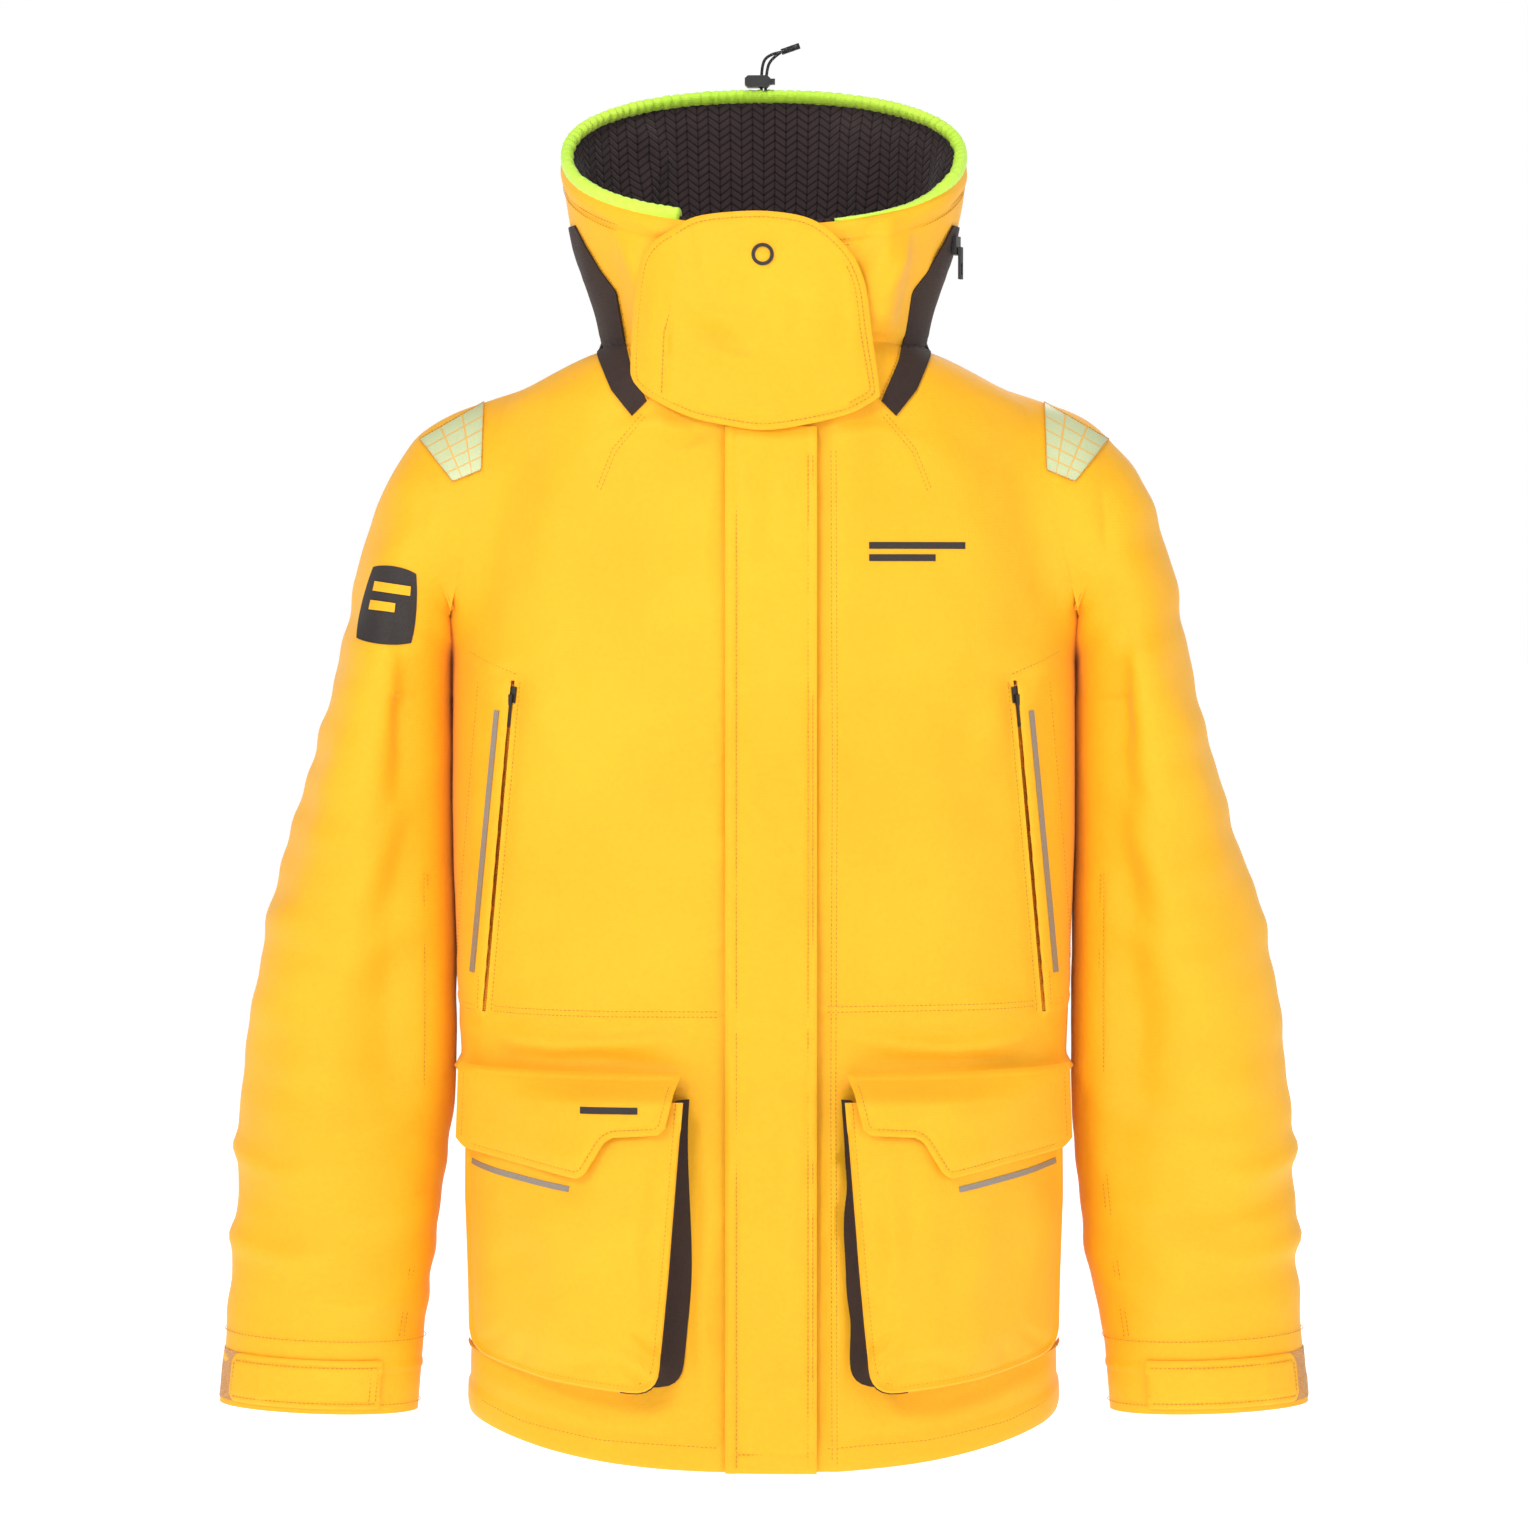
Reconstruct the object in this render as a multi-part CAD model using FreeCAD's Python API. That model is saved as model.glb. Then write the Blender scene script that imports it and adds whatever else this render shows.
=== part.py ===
import FreeCAD, Part
import math
import os

V = FreeCAD.Vector
os.makedirs("parts", exist_ok=True)

# Foul weather jacket, millimetres. X to the wearer's left, -Y to the front, Z up.
# The origin is the hang loop at the nape. "right" and "left" are the wearer's.

# Driving sizes
HEM_Z = -830.0
WAIST_Z = -495.0
NECK_Z = 0.0
YOKE_Z = -150.0
SIDE_Y = -78.0
WALL = 4.0
FRONT_Y = -232.0
FRONT_LEAN = 0.026
ZIP_X = 5.0
ZIP_TOP = 80.0
SHOULDER = (-190.0, -118.0)
SHOULDER_R = 100.0
ELBOW = (-165.0, -430.0)
SLEEVE_WALL = 3.5
RIM_SLOPE = 25.8
RIM_MID = (-90.0, 141.5)
RIM_H = 10.0
CORD_D = 2.3

# height, half width, back face, power of the rounded section
TORSO = [
    (-830, 224, 44, 2.5), (-723, 222, 45, 2.5), (-640, 225, 46, 2.5),
    (-495, 232, 50, 2.5), (-340, 237, 57, 2.5), (-215, 237, 61, 2.4),
    (-140, 231, 59, 2.3), (-95, 226, 53, 2.2), (-66, 219, 45, 2.15),
    (-45, 203, 37, 2.1), (-24, 168, 24, 2.1), (0, 121, 8, 2.1),
]
COLLAR = [
    (0, 121, 8, 2.1), (22, 125, 11, 2.1), (79, 144, 17, 2.15),
    (129, 152, 23, 2.2), (190, 156, 27, 2.2), (240, 158, 29, 2.2),
]
# step, outer edge x and z, inner edge x and z, half depth, middle y
SLEEVE = [
    (0, -190, -32, -190, -196, 74, -78), (1, -258, -60, -242, -206, 84, -78),
    (2, -300, -137, -243, -246, 88, -78), (3, -321, -229, -243, -312, 88, -78),
    (4, -353, -343, -243, -396, 85, -80), (5, -383, -464, -242, -486, 78, -84),
    (6, -400, -600, -243, -606, 68, -90), (7, -409, -740, -259, -746, 52, -96),
    (8, -415, -800, -264, -806, 44, -98),
]


def smooth(rows, t):
    """The row at t, by a cubic that never overshoots between rows."""
    k = max(i for i in range(len(rows) - 1) if rows[i][0] <= t or i == 0)
    steps = [b[0] - a[0] for a, b in zip(rows, rows[1:])]
    h = steps[k]
    s = (t - rows[k][0]) / h
    out = []
    for c in range(1, len(rows[0])):
        d = [(b[c] - a[c]) / g for a, b, g in zip(rows, rows[1:], steps)]

        def slope(i):
            if i in (0, len(d)):
                return d[min(i, len(d) - 1)]
            if d[i - 1] * d[i] <= 0:
                return 0.0
            return 2 * d[i - 1] * d[i] / (d[i - 1] + d[i])

        a, b = rows[k][c], rows[k + 1][c]
        m, n = slope(k) * h, slope(k + 1) * h
        out.append(
            a * (1 + 2 * s) * (1 - s) ** 2 + m * s * (1 - s) ** 2
            + b * s * s * (3 - 2 * s) - n * s * s * (1 - s)
        )
    return out


def ease(t):
    t = min(1.0, max(0.0, t))
    return t * t * (3 - 2 * t)


def front_y(z):
    return FRONT_Y + FRONT_LEAN * (z - HEM_Z)


def section(rows, z):
    """Half width, half depth, middle y and power of the section at z."""
    half, back, power = smooth(rows, z)
    front = front_y(z)
    return half, (back - front) / 2, (back + front) / 2, power


def skin(rows, s, z, off, side=-1):
    """A point off the surface at s half widths across; side -1 is the front."""
    half, deep, mid, power = section(rows, z)
    drop = (1 - min(1.0, abs(s)) ** power) ** (1 / power)
    return V((half + off) * s, mid + side * (deep + off) * drop, z)


def closed_curve(points):
    n = len(points)
    curve = Part.BSplineCurve()
    curve.interpolate(
        Points=points, PeriodicFlag=True, Parameters=[i / n for i in range(n + 1)]
    )
    return Part.Wire(curve.toShape())


def ring(rows, z, in_x=0.0, in_y=0.0, lift=0.0):
    half, deep, mid, power = section(rows, z)
    points = []
    for i in range(36):
        a = 2 * math.pi * i / 36
        c, s = math.cos(a), math.sin(a)
        x = (half - in_x) * math.copysign(abs(c) ** (2 / power), c)
        y = (deep - in_y) * math.copysign(abs(s) ** (2 / power), s)
        points.append(V(x, mid + y, z + lift))
    return closed_curve(points)


def sleeve_point(t, angle, off):
    """Angle 0 is the outer edge and 90 is the front."""
    ox, oz, ix, iz, deep, mid = smooth(SLEEVE, t)
    wide = math.hypot(ox - ix, oz - iz) / 2
    nx, nz = (ox - ix) / 2 / wide, (oz - iz) / 2 / wide
    a = math.radians(angle)
    c = (wide + off) * math.cos(a)
    return V((ox + ix) / 2 + c * nx, mid - (deep + off) * math.sin(a), (oz + iz) / 2 + c * nz)


def sleeve_ring(t, off, shift=V(0, 0, 0)):
    return closed_curve([sleeve_point(t, 10 * i, off) + shift for i in range(36)])


def slab(f, nu, nv):
    """A solid between the surfaces f(u, v, 0) and f(u, v, 1)."""
    sheets = []
    for w in (0, 1):
        grid = [[f(u / (nu - 1), v / (nv - 1), w) for v in range(nv)] for u in range(nu)]
        surface = Part.BSplineSurface()
        surface.interpolate(grid)
        sheets.append(surface)
    faces = [s.toShape() for s in sheets]
    for end in (0, 1):
        for cut in ("uIso", "vIso"):
            edges = [getattr(s, cut)(end).toShape() for s in sheets]
            faces.append(Part.makeRuledSurface(*edges))
    shell = Part.makeShell(faces)
    shell.sewShape()
    solid = Part.makeSolid(shell)
    if solid.Volume < 0:
        solid.reverse()
    return solid


def box(x0, x1, y0, y1, z0, z1):
    return Part.makeBox(x1 - x0, y1 - y0, z1 - z0, V(x0, y0, z0))


def mirror(shape):
    return shape.mirror(V(0, 0, 0), V(1, 0, 0))


def both(shape):
    return Part.makeCompound([shape, mirror(shape)])


def leaned(shape):
    """A shape drawn about the foot of the front zip line, leaned along it."""
    shape.rotate(V(0, 0, 0), V(1, 0, 0), -math.degrees(math.atan(FRONT_LEAN)))
    shape.translate(V(ZIP_X, FRONT_Y, HEM_Z))
    return shape


def placed(shape, at, up, out):
    """A shape drawn with Z up and -Y out, put at a point with other directions."""
    up = V(up).normalize()
    side = up.cross(V(out)).normalize()
    out = side.cross(up)
    rotation = FreeCAD.Rotation(side, out * -1, up, "ZXY")
    shape.Placement = FreeCAD.Placement(at, rotation)
    return shape


def save(name, shape):
    solids = shape.Solids
    good = bool(solids) and all(s.isValid() and s.isClosed() for s in solids)
    volume = sum(s.Volume for s in solids)
    print(f"{name}: {len(solids)} solid(s), {volume / 1000:.2f} cm3, {'ok' if good else 'BAD'}")
    shape.exportStep(f"parts/{name}.step")


def tube(points, diameter):
    """Straight runs joined by tangent arcs."""
    edges, here, radii = [], points[0], []
    for a, b, c in zip(points, points[1:], points[2:]):
        back, on = (a - b), (c - b)
        run = min(back.Length, on.Length)
        half = (math.pi - back.getAngle(on)) / 2
        cut = 0.45 * run
        radii.append(cut / math.tan(half))
        p = b + V(back).normalize() * cut
        q = b + V(on).normalize() * cut
        middle = (V(back).normalize() + V(on).normalize()).normalize()
        reach = radii[-1] / math.cos(half) - radii[-1]
        edges.append(Part.LineSegment(here, p).toShape())
        edges.append(Part.Arc(p, b + middle * reach, q).toShape())
        here = q
    edges.append(Part.LineSegment(here, points[-1]).toShape())
    length = sum(e.Length for e in edges)
    start = (points[1] - points[0]).normalize()
    profile = Part.Wire(Part.makeCircle(diameter / 2, points[0], start))
    solid = Part.Wire(edges).makePipeShell([profile], True, False)
    print("cord", [round(r, 1) for r in radii], f"length {length:.1f}",
          f"volume ratio {solid.Volume / (length * math.pi * diameter ** 2 / 4):.3f}")
    return solid


# ---- Body shell, cut into its panels ----
LEVELS = [-830, -775, -723, -680, -640, -570, -495, -420, -340, -275, -215, -175, -140,
          -115, -95, -80, -66, -55, -45, -34, -24, -12, 0]


def inset(z):
    return WALL + 4.0 * ease((z + 100) / 70)


outer = Part.makeLoft([ring(TORSO, z) for z in LEVELS], True, False)
inner_rings = [ring(TORSO, -830, WALL, WALL, -20)]
inner_rings += [ring(TORSO, z, inset(z), WALL) for z in LEVELS]
inner_rings.append(ring(TORSO, 0, 12, WALL + 2, 15))
shell = outer.cut(Part.makeLoft(inner_rings, True, False))


def arm_solid(off, start=None, end=None):
    """The sleeve in two lofts that meet at step 2."""
    top = [sleeve_ring(i / 2, off) for i in range(5)]
    low = [sleeve_ring(2 + i / 2, off) for i in range(13)]
    if start:
        top.insert(0, sleeve_ring(0, off, start))
        low.append(sleeve_ring(8, off, end))
    return Part.makeLoft(top, True, False).fuse(Part.makeLoft(low, True, False))


arm_outer = arm_solid(0)
arm_inner = arm_solid(-SLEEVE_WALL, V(25, 0, 0), V(0, 0, -15))
arm = arm_outer.cut(arm_inner)

BIG = 400.0
GAP = 7.0
POCKET_TOP = V(-186, 0, -250)
POCKET_END = V(-209, 0, -498)


def on_front(x, z, off=0.0):
    return skin(TORSO, x / section(TORSO, z)[0], z, off)


zip_a = on_front(POCKET_TOP.x, POCKET_TOP.z)
zip_b = on_front(POCKET_END.x, POCKET_END.z)
zip_up = (zip_a - zip_b).normalize()
zip_mid_z = (zip_a.z + zip_b.z) / 2
across = on_front(-196, zip_mid_z) - on_front(-200, zip_mid_z)
zip_out = V(across.y, -across.x, 0).normalize()
zip_len = (zip_a - zip_b).Length
slot = placed(box(-7.5, 7.5, -14, 26, 0, zip_len), zip_b, zip_up, zip_out)

front_right = shell.common(box(-BIG, ZIP_X - GAP, -BIG, SIDE_Y, WAIST_Z, NECK_Z))
front_left = shell.common(box(ZIP_X + GAP, BIG, -BIG, SIDE_Y, WAIST_Z, NECK_Z))
save("front_panel_right", front_right.cut(arm_inner).cut(slot))
tape_room = leaned(box(-20.5, 20.5, 4.8, 6.3, 0, ZIP_TOP - HEM_Z))
save("front_panel_left", front_left.cut(mirror(arm_inner)).cut(mirror(slot)).cut(tape_room))
save("front_skirt_right",
     shell.common(box(-BIG, ZIP_X - GAP, -BIG, SIDE_Y, HEM_Z, WAIST_Z)).cut(slot))
save("front_skirt_left",
     shell.common(box(ZIP_X + GAP, BIG, -BIG, SIDE_Y, HEM_Z, WAIST_Z)).cut(mirror(slot)))
yoke = shell.common(box(-BIG, BIG, SIDE_Y, BIG, YOKE_Z, NECK_Z))
save("back_yoke", yoke.cut(arm_inner).cut(mirror(arm_inner)))
back = shell.common(box(-BIG, BIG, SIDE_Y, BIG, HEM_Z, YOKE_Z))
save("back_panel", back.cut(arm_inner).cut(mirror(arm_inner)))


# ---- Sleeves: cap on the body, upper sleeve about the shoulder, lower about the elbow ----
def drum(radius):
    return Part.makeCylinder(radius, 400, V(SHOULDER[0], -300, SHOULDER[1]), V(0, 1, 0))


cap = arm.common(drum(SHOULDER_R - 1)).cut(outer)
cap = max(cap.Solids, key=lambda s: s.Volume)
upper = arm.cut(drum(SHOULDER_R + 1)).common(box(-BIG - 100, 0, -BIG, BIG, ELBOW[1] + 1, 0))
upper = max(upper.Solids, key=lambda s: s.Volume)
lower = arm.common(box(-BIG - 100, 0, -BIG, BIG, -BIG * 3, ELBOW[1] - 1))
cuff_outer = Part.makeLoft([sleeve_ring(t, -9) for t in (7, 7.5, 8)], True, False)
cuff_inner = Part.makeLoft([sleeve_ring(7, -11, V(0, 0, 9)), sleeve_ring(7, -11),
                            sleeve_ring(7.5, -11), sleeve_ring(8, -11),
                            sleeve_ring(8, -11, V(0, 0, -9))], True, False)
inner_cuff = cuff_outer.cut(cuff_inner)
patch = slab(lambda u, v, w: sleeve_point(7.25 + 0.68 * v, -22 + 60 * u, 0.4 + 0.8 * w), 9, 3)
tab = slab(lambda u, v, w: sleeve_point(7.25 + 0.68 * v, 30 + 98 * u, 1.5 + 2 * w), 13, 3)
badge = slab(lambda u, v, w: sleeve_point(2.1 + 0.7 * v, 22 + 42 * u, 2.2 + 0.6 * w), 11, 9)
save("sleeve_badge", badge)
for name, shape in (("sleeve_cap", cap), ("upper_sleeve", upper), ("lower_sleeve", lower),
                    ("inner_cuff", inner_cuff), ("cuff_loop_patch", patch),
                    ("cuff_tab", tab)):
    save(name + "_right", shape)
    save(name + "_left", mirror(shape))
for t in (7.25, 7.93):
    print("cuff tab hinge", sleeve_point(t, 128, 2.5))

shine = slab(lambda u, v, w: sleeve_point(0.6 + 0.75 * u, 20 + 42 * v, 1.8 + 0.6 * w), 9, 9)
save("shoulder_reflective_patches", both(shine))

# ---- Collar, its lining, rim and stowed hood ----
HEIGHTS = [0, 22, 50, 79, 104, 129, 160, 190, 240]


def collar_solid(cut, down=0.0, up=0.0):
    rings = [ring(COLLAR, z, cut, cut) for z in HEIGHTS]
    if down:
        rings.insert(0, ring(COLLAR, 0, cut, cut, -down))
        rings.append(ring(COLLAR, 240, cut, cut, up))
    return Part.makeLoft(rings, True, False)


def above_rim(off, tall):
    shape = box(-BIG, BIG, -BIG, BIG, off, off + tall)
    shape.rotate(V(0, 0, 0), V(1, 0, 0), RIM_SLOPE)
    shape.translate(V(0, RIM_MID[0], RIM_MID[1]))
    return shape


sky = above_rim(0, 500)
collar = collar_solid(0).cut(collar_solid(2.5, 10, 10)).cut(sky)
save("collar_shell", collar.cut(box(ZIP_X - GAP, ZIP_X + GAP, -BIG, -100, -50, 300)))
lining = collar_solid(3).cut(collar_solid(6.5, 10, 10)).cut(sky)
save("collar_fleece_lining", lining.cut(box(ZIP_X - 21, ZIP_X + 21, -BIG, -100, -50, 300)))
rim = collar_solid(-1.5, 10, 10).cut(collar_solid(8, 20, 20)).common(above_rim(0.2, RIM_H))
save("hood_rim_elastic", rim.cut(box(-66, 38, -BIG, -100, -50, 300)))


def gusset(u, v, w):
    s = -(0.90 + 0.065 * v) + u * (0.18 - 0.02 * v)
    return skin(COLLAR, s, 6 + 82 * v, 0.5 + 1.5 * w)


save("collar_gussets", both(slab(gusset, 7, 7)))


def stowed(low, high):
    def f(u, v, w):
        bulge = 4 + 9 * math.sin(math.pi * v) * math.sin(math.pi * (0.08 + 0.84 * u))
        off = (low + (high - low) * w) if low >= 0 else 1 + (bulge - 1) * w
        if low >= 0:
            off += bulge
        return skin(COLLAR, -0.86 + 1.72 * u, 88 + 66 * v, off, 1)
    return f


save("packed_hood", slab(stowed(-1, 0), 13, 7))
save("hood_stow_cover", slab(stowed(0.5, 2.0), 13, 7))


def hood_zip(u, v, w):
    return skin(COLLAR, -0.9 + 1.8 * u, 70 + 10 * v, 0.5 + 1.2 * w, 1)


save("hood_zip_tape", slab(hood_zip, 15, 3))
hood_at = skin(COLLAR, 0.975, 75, 4.6)
hood_out = V(0.93, -0.37, 0)
save("hood_zip_slider", placed(box(-5, 5, -2, 2, -7, 7), hood_at, V(0, 0, 1), hood_out))
pull = box(-3, 3, -1, 1, -24, 0).cut(box(-1.4, 1.4, -2, 2, -21, -12))
save("hood_zip_pull", placed(pull, hood_at + hood_out * 3.6 + V(0, 0, -1), V(0, 0, 1), hood_out))
print("hood pull hinge", hood_at + hood_out * 3.6 + V(0, 0, -1))

loop = Part.makeCylinder(26, 5, V(0, -7, -24), V(0, 1, 0))
loop = loop.cut(Part.makeCylinder(24, 9, V(0, -9, -24), V(0, 1, 0)))
loop = loop.common(box(-40, 40, -9, 9, -24, 10))
feet = [box(a, a + 2, -7, 1.2, -26, -20) for a in (-26, 24)]
save("hang_loop", loop.fuse(feet).removeSplitter())

# ---- Cord lock on the back of the rim ----
LOCK_Z = 208.5
side_view = [(-15, 2.2), (-12.6, 0), (2.6, 0), (5, 2.2), (5, 6.8), (2.6, 9), (-12.6, 9), (-15, 6.8)]
outline = Part.makePolygon([V(x, 11.5, LOCK_Z + z) for x, z in side_view + side_view[:1]])
lock = Part.Face(outline).extrude(V(0, 12, 0))
lock = lock.cut(box(-13.6, 6, 13.2, 21.8, LOCK_Z + 2.1, LOCK_Z + 6.9))
lock = lock.cut(box(-3.9, 3.0, 14.3, 20.7, LOCK_Z - 1, LOCK_Z + 10))
save("cord_lock_body", lock)
button = box(-7.5, 8.6, 13.5, 21.5, LOCK_Z + 2.4, LOCK_Z + 6.6)
save("cord_lock_button", button.cut(box(-4.0, 6.0, 14.4, 20.6, LOCK_Z - 1, LOCK_Z + 10)))
ridges = [(-13.3 + 0.9 * i, LOCK_Z + 4.5 + (1.4 if i % 2 else -1.4)) for i in range(7)]
strip = [V(x, 15.5, z + 0.25) for x, z in ridges] + [V(x, 15.5, z - 0.25) for x, z in ridges[::-1]]
spring = Part.Face(Part.makePolygon(strip + strip[:1])).extrude(V(0, 4, 0))
save("cord_lock_spring", spring)
cord_a = [V(-2, 19, 206), V(-2.5, 19, 226), V(4, 17, 234.5), V(13.2, 14.6, 235.6)]
cord_b = [V(1.2, 16, 206), V(1.8, 15.6, 223), V(6.5, 13.2, 231), V(13.2, 11.4, 235.2)]
save("hood_cord_right", tube(cord_a, CORD_D))
save("hood_cord_left", tube(cord_b, CORD_D))
end = Part.makeCylinder(2.2, 15).fuse(Part.makeCylinder(2.2, 15, V(3.2, 0, 0)))
end = end.fuse(box(0, 3.2, -2.2, 2.2, 0, 15)).removeSplitter()
end = placed(end, V(13.6, 14.6, 235.5), V(14.5, -0.6, 5), V(-5, 0, 14.5))
save("hood_cord_end", end)

# ---- Front closure ----
tall = ZIP_TOP - HEM_Z
tapes = [box(4, 20, 5.1, 5.9, 0, tall), box(-20, -4, 5.1, 5.9, 0, tall)]
save("main_zip_tapes", Part.makeCompound([leaned(t) for t in tapes]))
teeth = [box(0.6, 4, 4.1, 6.9, 2, tall), box(-4, -0.6, 4.1, 6.9, 2, tall)]
save("main_zip_teeth", Part.makeCompound([leaned(t) for t in teeth]))
save("inner_storm_guard", leaned(box(-28, 28, 11, 12.2, 0, tall)))


def slider(half):
    front = box(-half, half, 2.3, 3.7, -8, 8)
    back = box(-half, half, 7.3, 8.6, -8, 8)
    return front.fuse([back, box(-0.35, 0.35, 2.5, 8, 0, 6)]).removeSplitter()


def tab_pull(length):
    return box(-2.8, 2.8, 0.6, 1.8, -length, 0).cut(box(-1.3, 1.3, 0, 3, -length + 3, -8))


def at_height(shape, h):
    shape.translate(V(0, 0, h))
    return leaned(shape)


UPPER_H = tall - 12
LOWER_H = 12
save("main_zip_upper_slider", at_height(slider(6), UPPER_H))
save("main_zip_upper_pull", at_height(tab_pull(30), UPPER_H - 1))
low_slider = slider(6)
low_slider.rotate(V(0, 0, 0), V(0, 1, 0), 180)
save("main_zip_lower_slider", at_height(low_slider, LOWER_H))
low_pull = tab_pull(26)
low_pull.translate(V(0, 0, 27))
save("main_zip_lower_pull", at_height(low_pull, LOWER_H))

FLAP_TOP = -73 - HEM_Z
flap = box(-33.5, 33.7, -6.5, -2.5, 0, FLAP_TOP)
save("storm_flap", leaned(flap))
save("flap_hook_strip", leaned(box(-31, -13, -2.4, -1.3, 6, FLAP_TOP - 8)))
save("flap_loop_strip", leaned(box(-31, -13, -1.1, -0.3, 6, FLAP_TOP - 8)))


def guard(u, v, w):
    x = -98 + 183 * u
    r = 2 * u - 1
    low, high = -66 + 24 * r * r, 93 - 30 * abs(r) ** 3
    z = low + (high - low) * v
    curve = 8 + 10 * (z + 66) / 160
    return V(x, front_y(z) - 6 - 4 * w + curve * (x / 95) ** 2, z)


save("face_guard", slab(guard, 13, 9))
for v in (0, 1):
    print("face guard hinge", guard(1, v, 0.5))

# ---- Chest pocket zips in their slots ----
P_LEN = zip_len - 3
plates = [box(2, 7.3, 5.1, 5.9, 0, P_LEN), box(-7.3, -2, 5.1, 5.9, 0, P_LEN)]
chest_zip = [placed(p, zip_b + zip_up * 1.5 + zip_out * 4, zip_up, zip_out) for p in plates]
save("chest_zip_tapes", Part.makeCompound(chest_zip + [mirror(c) for c in chest_zip]))


def small_slider():
    front = box(-4.2, 4.2, 2.9, 4.2, -6, 6)
    back = box(-4.2, 4.2, 6.8, 7.9, -6, 6)
    return front.fuse([back, box(-1.2, 1.2, 3, 7, -4, 5)]).removeSplitter()


chest_at = zip_b + zip_up * (zip_len - 10) + zip_out * 4
slide = placed(small_slider(), chest_at, zip_up, zip_out)
p_shape = box(-2.5, 2.5, 1.2, 2.4, -24, 0).cut(box(-1.1, 1.1, 0, 3, -21, -8))
p_shape = placed(p_shape, chest_at, zip_up, zip_out)
for name, shape in (("chest_zip_slider", slide), ("chest_zip_pull", p_shape)):
    save(name + "_right", shape)
    save(name + "_left", mirror(shape))
print("chest zip slide axis", zip_up, "out", zip_out, "at", chest_at, "length", zip_len)
print("chest pull hinge", chest_at - zip_out * 1.8)


def chest_strip(u, v, w):
    z = -466 + 195 * v
    x = -220 + 20 * v + 3.5 * (u - 0.5)
    return on_front(x, z, 0.5 + 0.7 * w)


save("chest_reflective_strips", both(slab(chest_strip, 3, 9)))


def bag(u, v, w):
    z = -480 + 200 * v
    return on_front(-180 + 95 * u, z, -10 - 4 * w)


save("chest_pocket_bags", both(slab(bag, 7, 7)))


# ---- Cargo pockets and their flaps ----
def base(u):
    return 5 + 20 * ease(1.5 * u)


def across_pocket(u):
    return -0.95 + 0.69 * u


def pocket_front(u, v, w):
    dome = 4 * math.sin(math.pi * u) * math.sin(math.pi * v)
    return skin(TORSO, across_pocket(u), -768 + 204 * v, base(u) + dome * 0.6 + 1.5 * w)


def pocket_side(u, v, w):
    return skin(TORSO, -0.258 + 0.012 * w, -768 + 204 * v, 0.8 + 25 * u)


def pocket_floor(u, v, w):
    return skin(TORSO, across_pocket(u) + 0.0005, -771.5 + 3 * w, 0.8 + (base(u) - 0.5) * v)


def cargo_flap(u, v, w):
    low = -600 - 12 * ease(2.2 * u) + 30 * ease((u - 0.52) / 0.12)
    z = -538 + (low + 538) * v
    off = 10 + (base(u) - 5) * ease(v / 0.3)
    return skin(TORSO, -0.965 + 0.70 * u, z, off + 2.4 + 2 * w)


def pocket_strip(u, v, w):
    u2 = 0.10 + 0.50 * u
    dome = 4 * math.sin(math.pi * u2) * math.sin(math.pi * (0.70 + 0.02 * v))
    return skin(TORSO, across_pocket(u2), -626 + 5 * v, base(u2) + dome * 0.6 + 2.2 + 0.6 * w)


front = slab(pocket_front, 13, 7)
walls = Part.makeCompound([slab(pocket_side, 3, 7), slab(pocket_floor, 13, 3)])
lid = slab(cargo_flap, 25, 9)
for name, shape in (("cargo_pocket_front", front), ("cargo_flap", lid)):
    save(name + "_right", shape)
    save(name + "_left", mirror(shape))
save("cargo_pocket_gussets", both(walls))
save("cargo_reflective_strips", both(slab(pocket_strip, 9, 3)))
print("cargo flap top", cargo_flap(1, 0, 0.5))
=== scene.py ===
import math

import bmesh
import bpy
import numpy as np
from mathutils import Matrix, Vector
from mathutils.bvhtree import BVHTree


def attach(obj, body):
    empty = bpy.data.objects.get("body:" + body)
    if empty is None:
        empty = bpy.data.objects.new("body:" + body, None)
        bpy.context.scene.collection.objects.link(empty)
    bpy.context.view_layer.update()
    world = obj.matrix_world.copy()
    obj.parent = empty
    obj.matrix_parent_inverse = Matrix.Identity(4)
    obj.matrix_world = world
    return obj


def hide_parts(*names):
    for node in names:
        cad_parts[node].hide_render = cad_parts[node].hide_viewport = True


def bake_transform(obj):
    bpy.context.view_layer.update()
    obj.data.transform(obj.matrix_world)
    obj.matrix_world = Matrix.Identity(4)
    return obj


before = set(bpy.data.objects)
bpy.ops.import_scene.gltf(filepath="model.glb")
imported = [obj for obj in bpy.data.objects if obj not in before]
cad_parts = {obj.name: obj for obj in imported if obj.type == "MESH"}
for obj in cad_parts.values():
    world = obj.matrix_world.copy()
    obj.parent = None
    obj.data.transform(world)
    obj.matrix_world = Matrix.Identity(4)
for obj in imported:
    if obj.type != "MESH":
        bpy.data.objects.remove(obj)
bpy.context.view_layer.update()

MM = 0.001
TAU = 2 * math.pi

# ---- Camera ----
view_data = bpy.data.cameras.new("camera")
view_data.lens = 108.5
camera = bpy.data.objects.new("camera", view_data)
bpy.context.scene.collection.objects.link(camera)
camera.location = (0.0, -3.59, -0.18)
aim = Vector((0.0, -0.09, -0.315)) - camera.location
camera.rotation_euler = aim.to_track_quat("-Z", "Y").to_euler()
bpy.context.scene.camera = camera
bpy.context.view_layer.update()


# ---- Materials ----
def nodes_of(name):
    m = bpy.data.materials.new(name)
    m.use_nodes = True
    return m, m.node_tree.nodes, m.node_tree.links, m.node_tree.nodes["Principled BSDF"]


def math_node(nodes, links, op, a, b=None, c=None):
    n = nodes.new("ShaderNodeMath")
    n.operation = op
    for i, v in enumerate((a, b, c)):
        if v is None:
            continue
        if isinstance(v, (int, float)):
            n.inputs[i].default_value = v
        else:
            links.new(v, n.inputs[i])
    return n.outputs[0]


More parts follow.
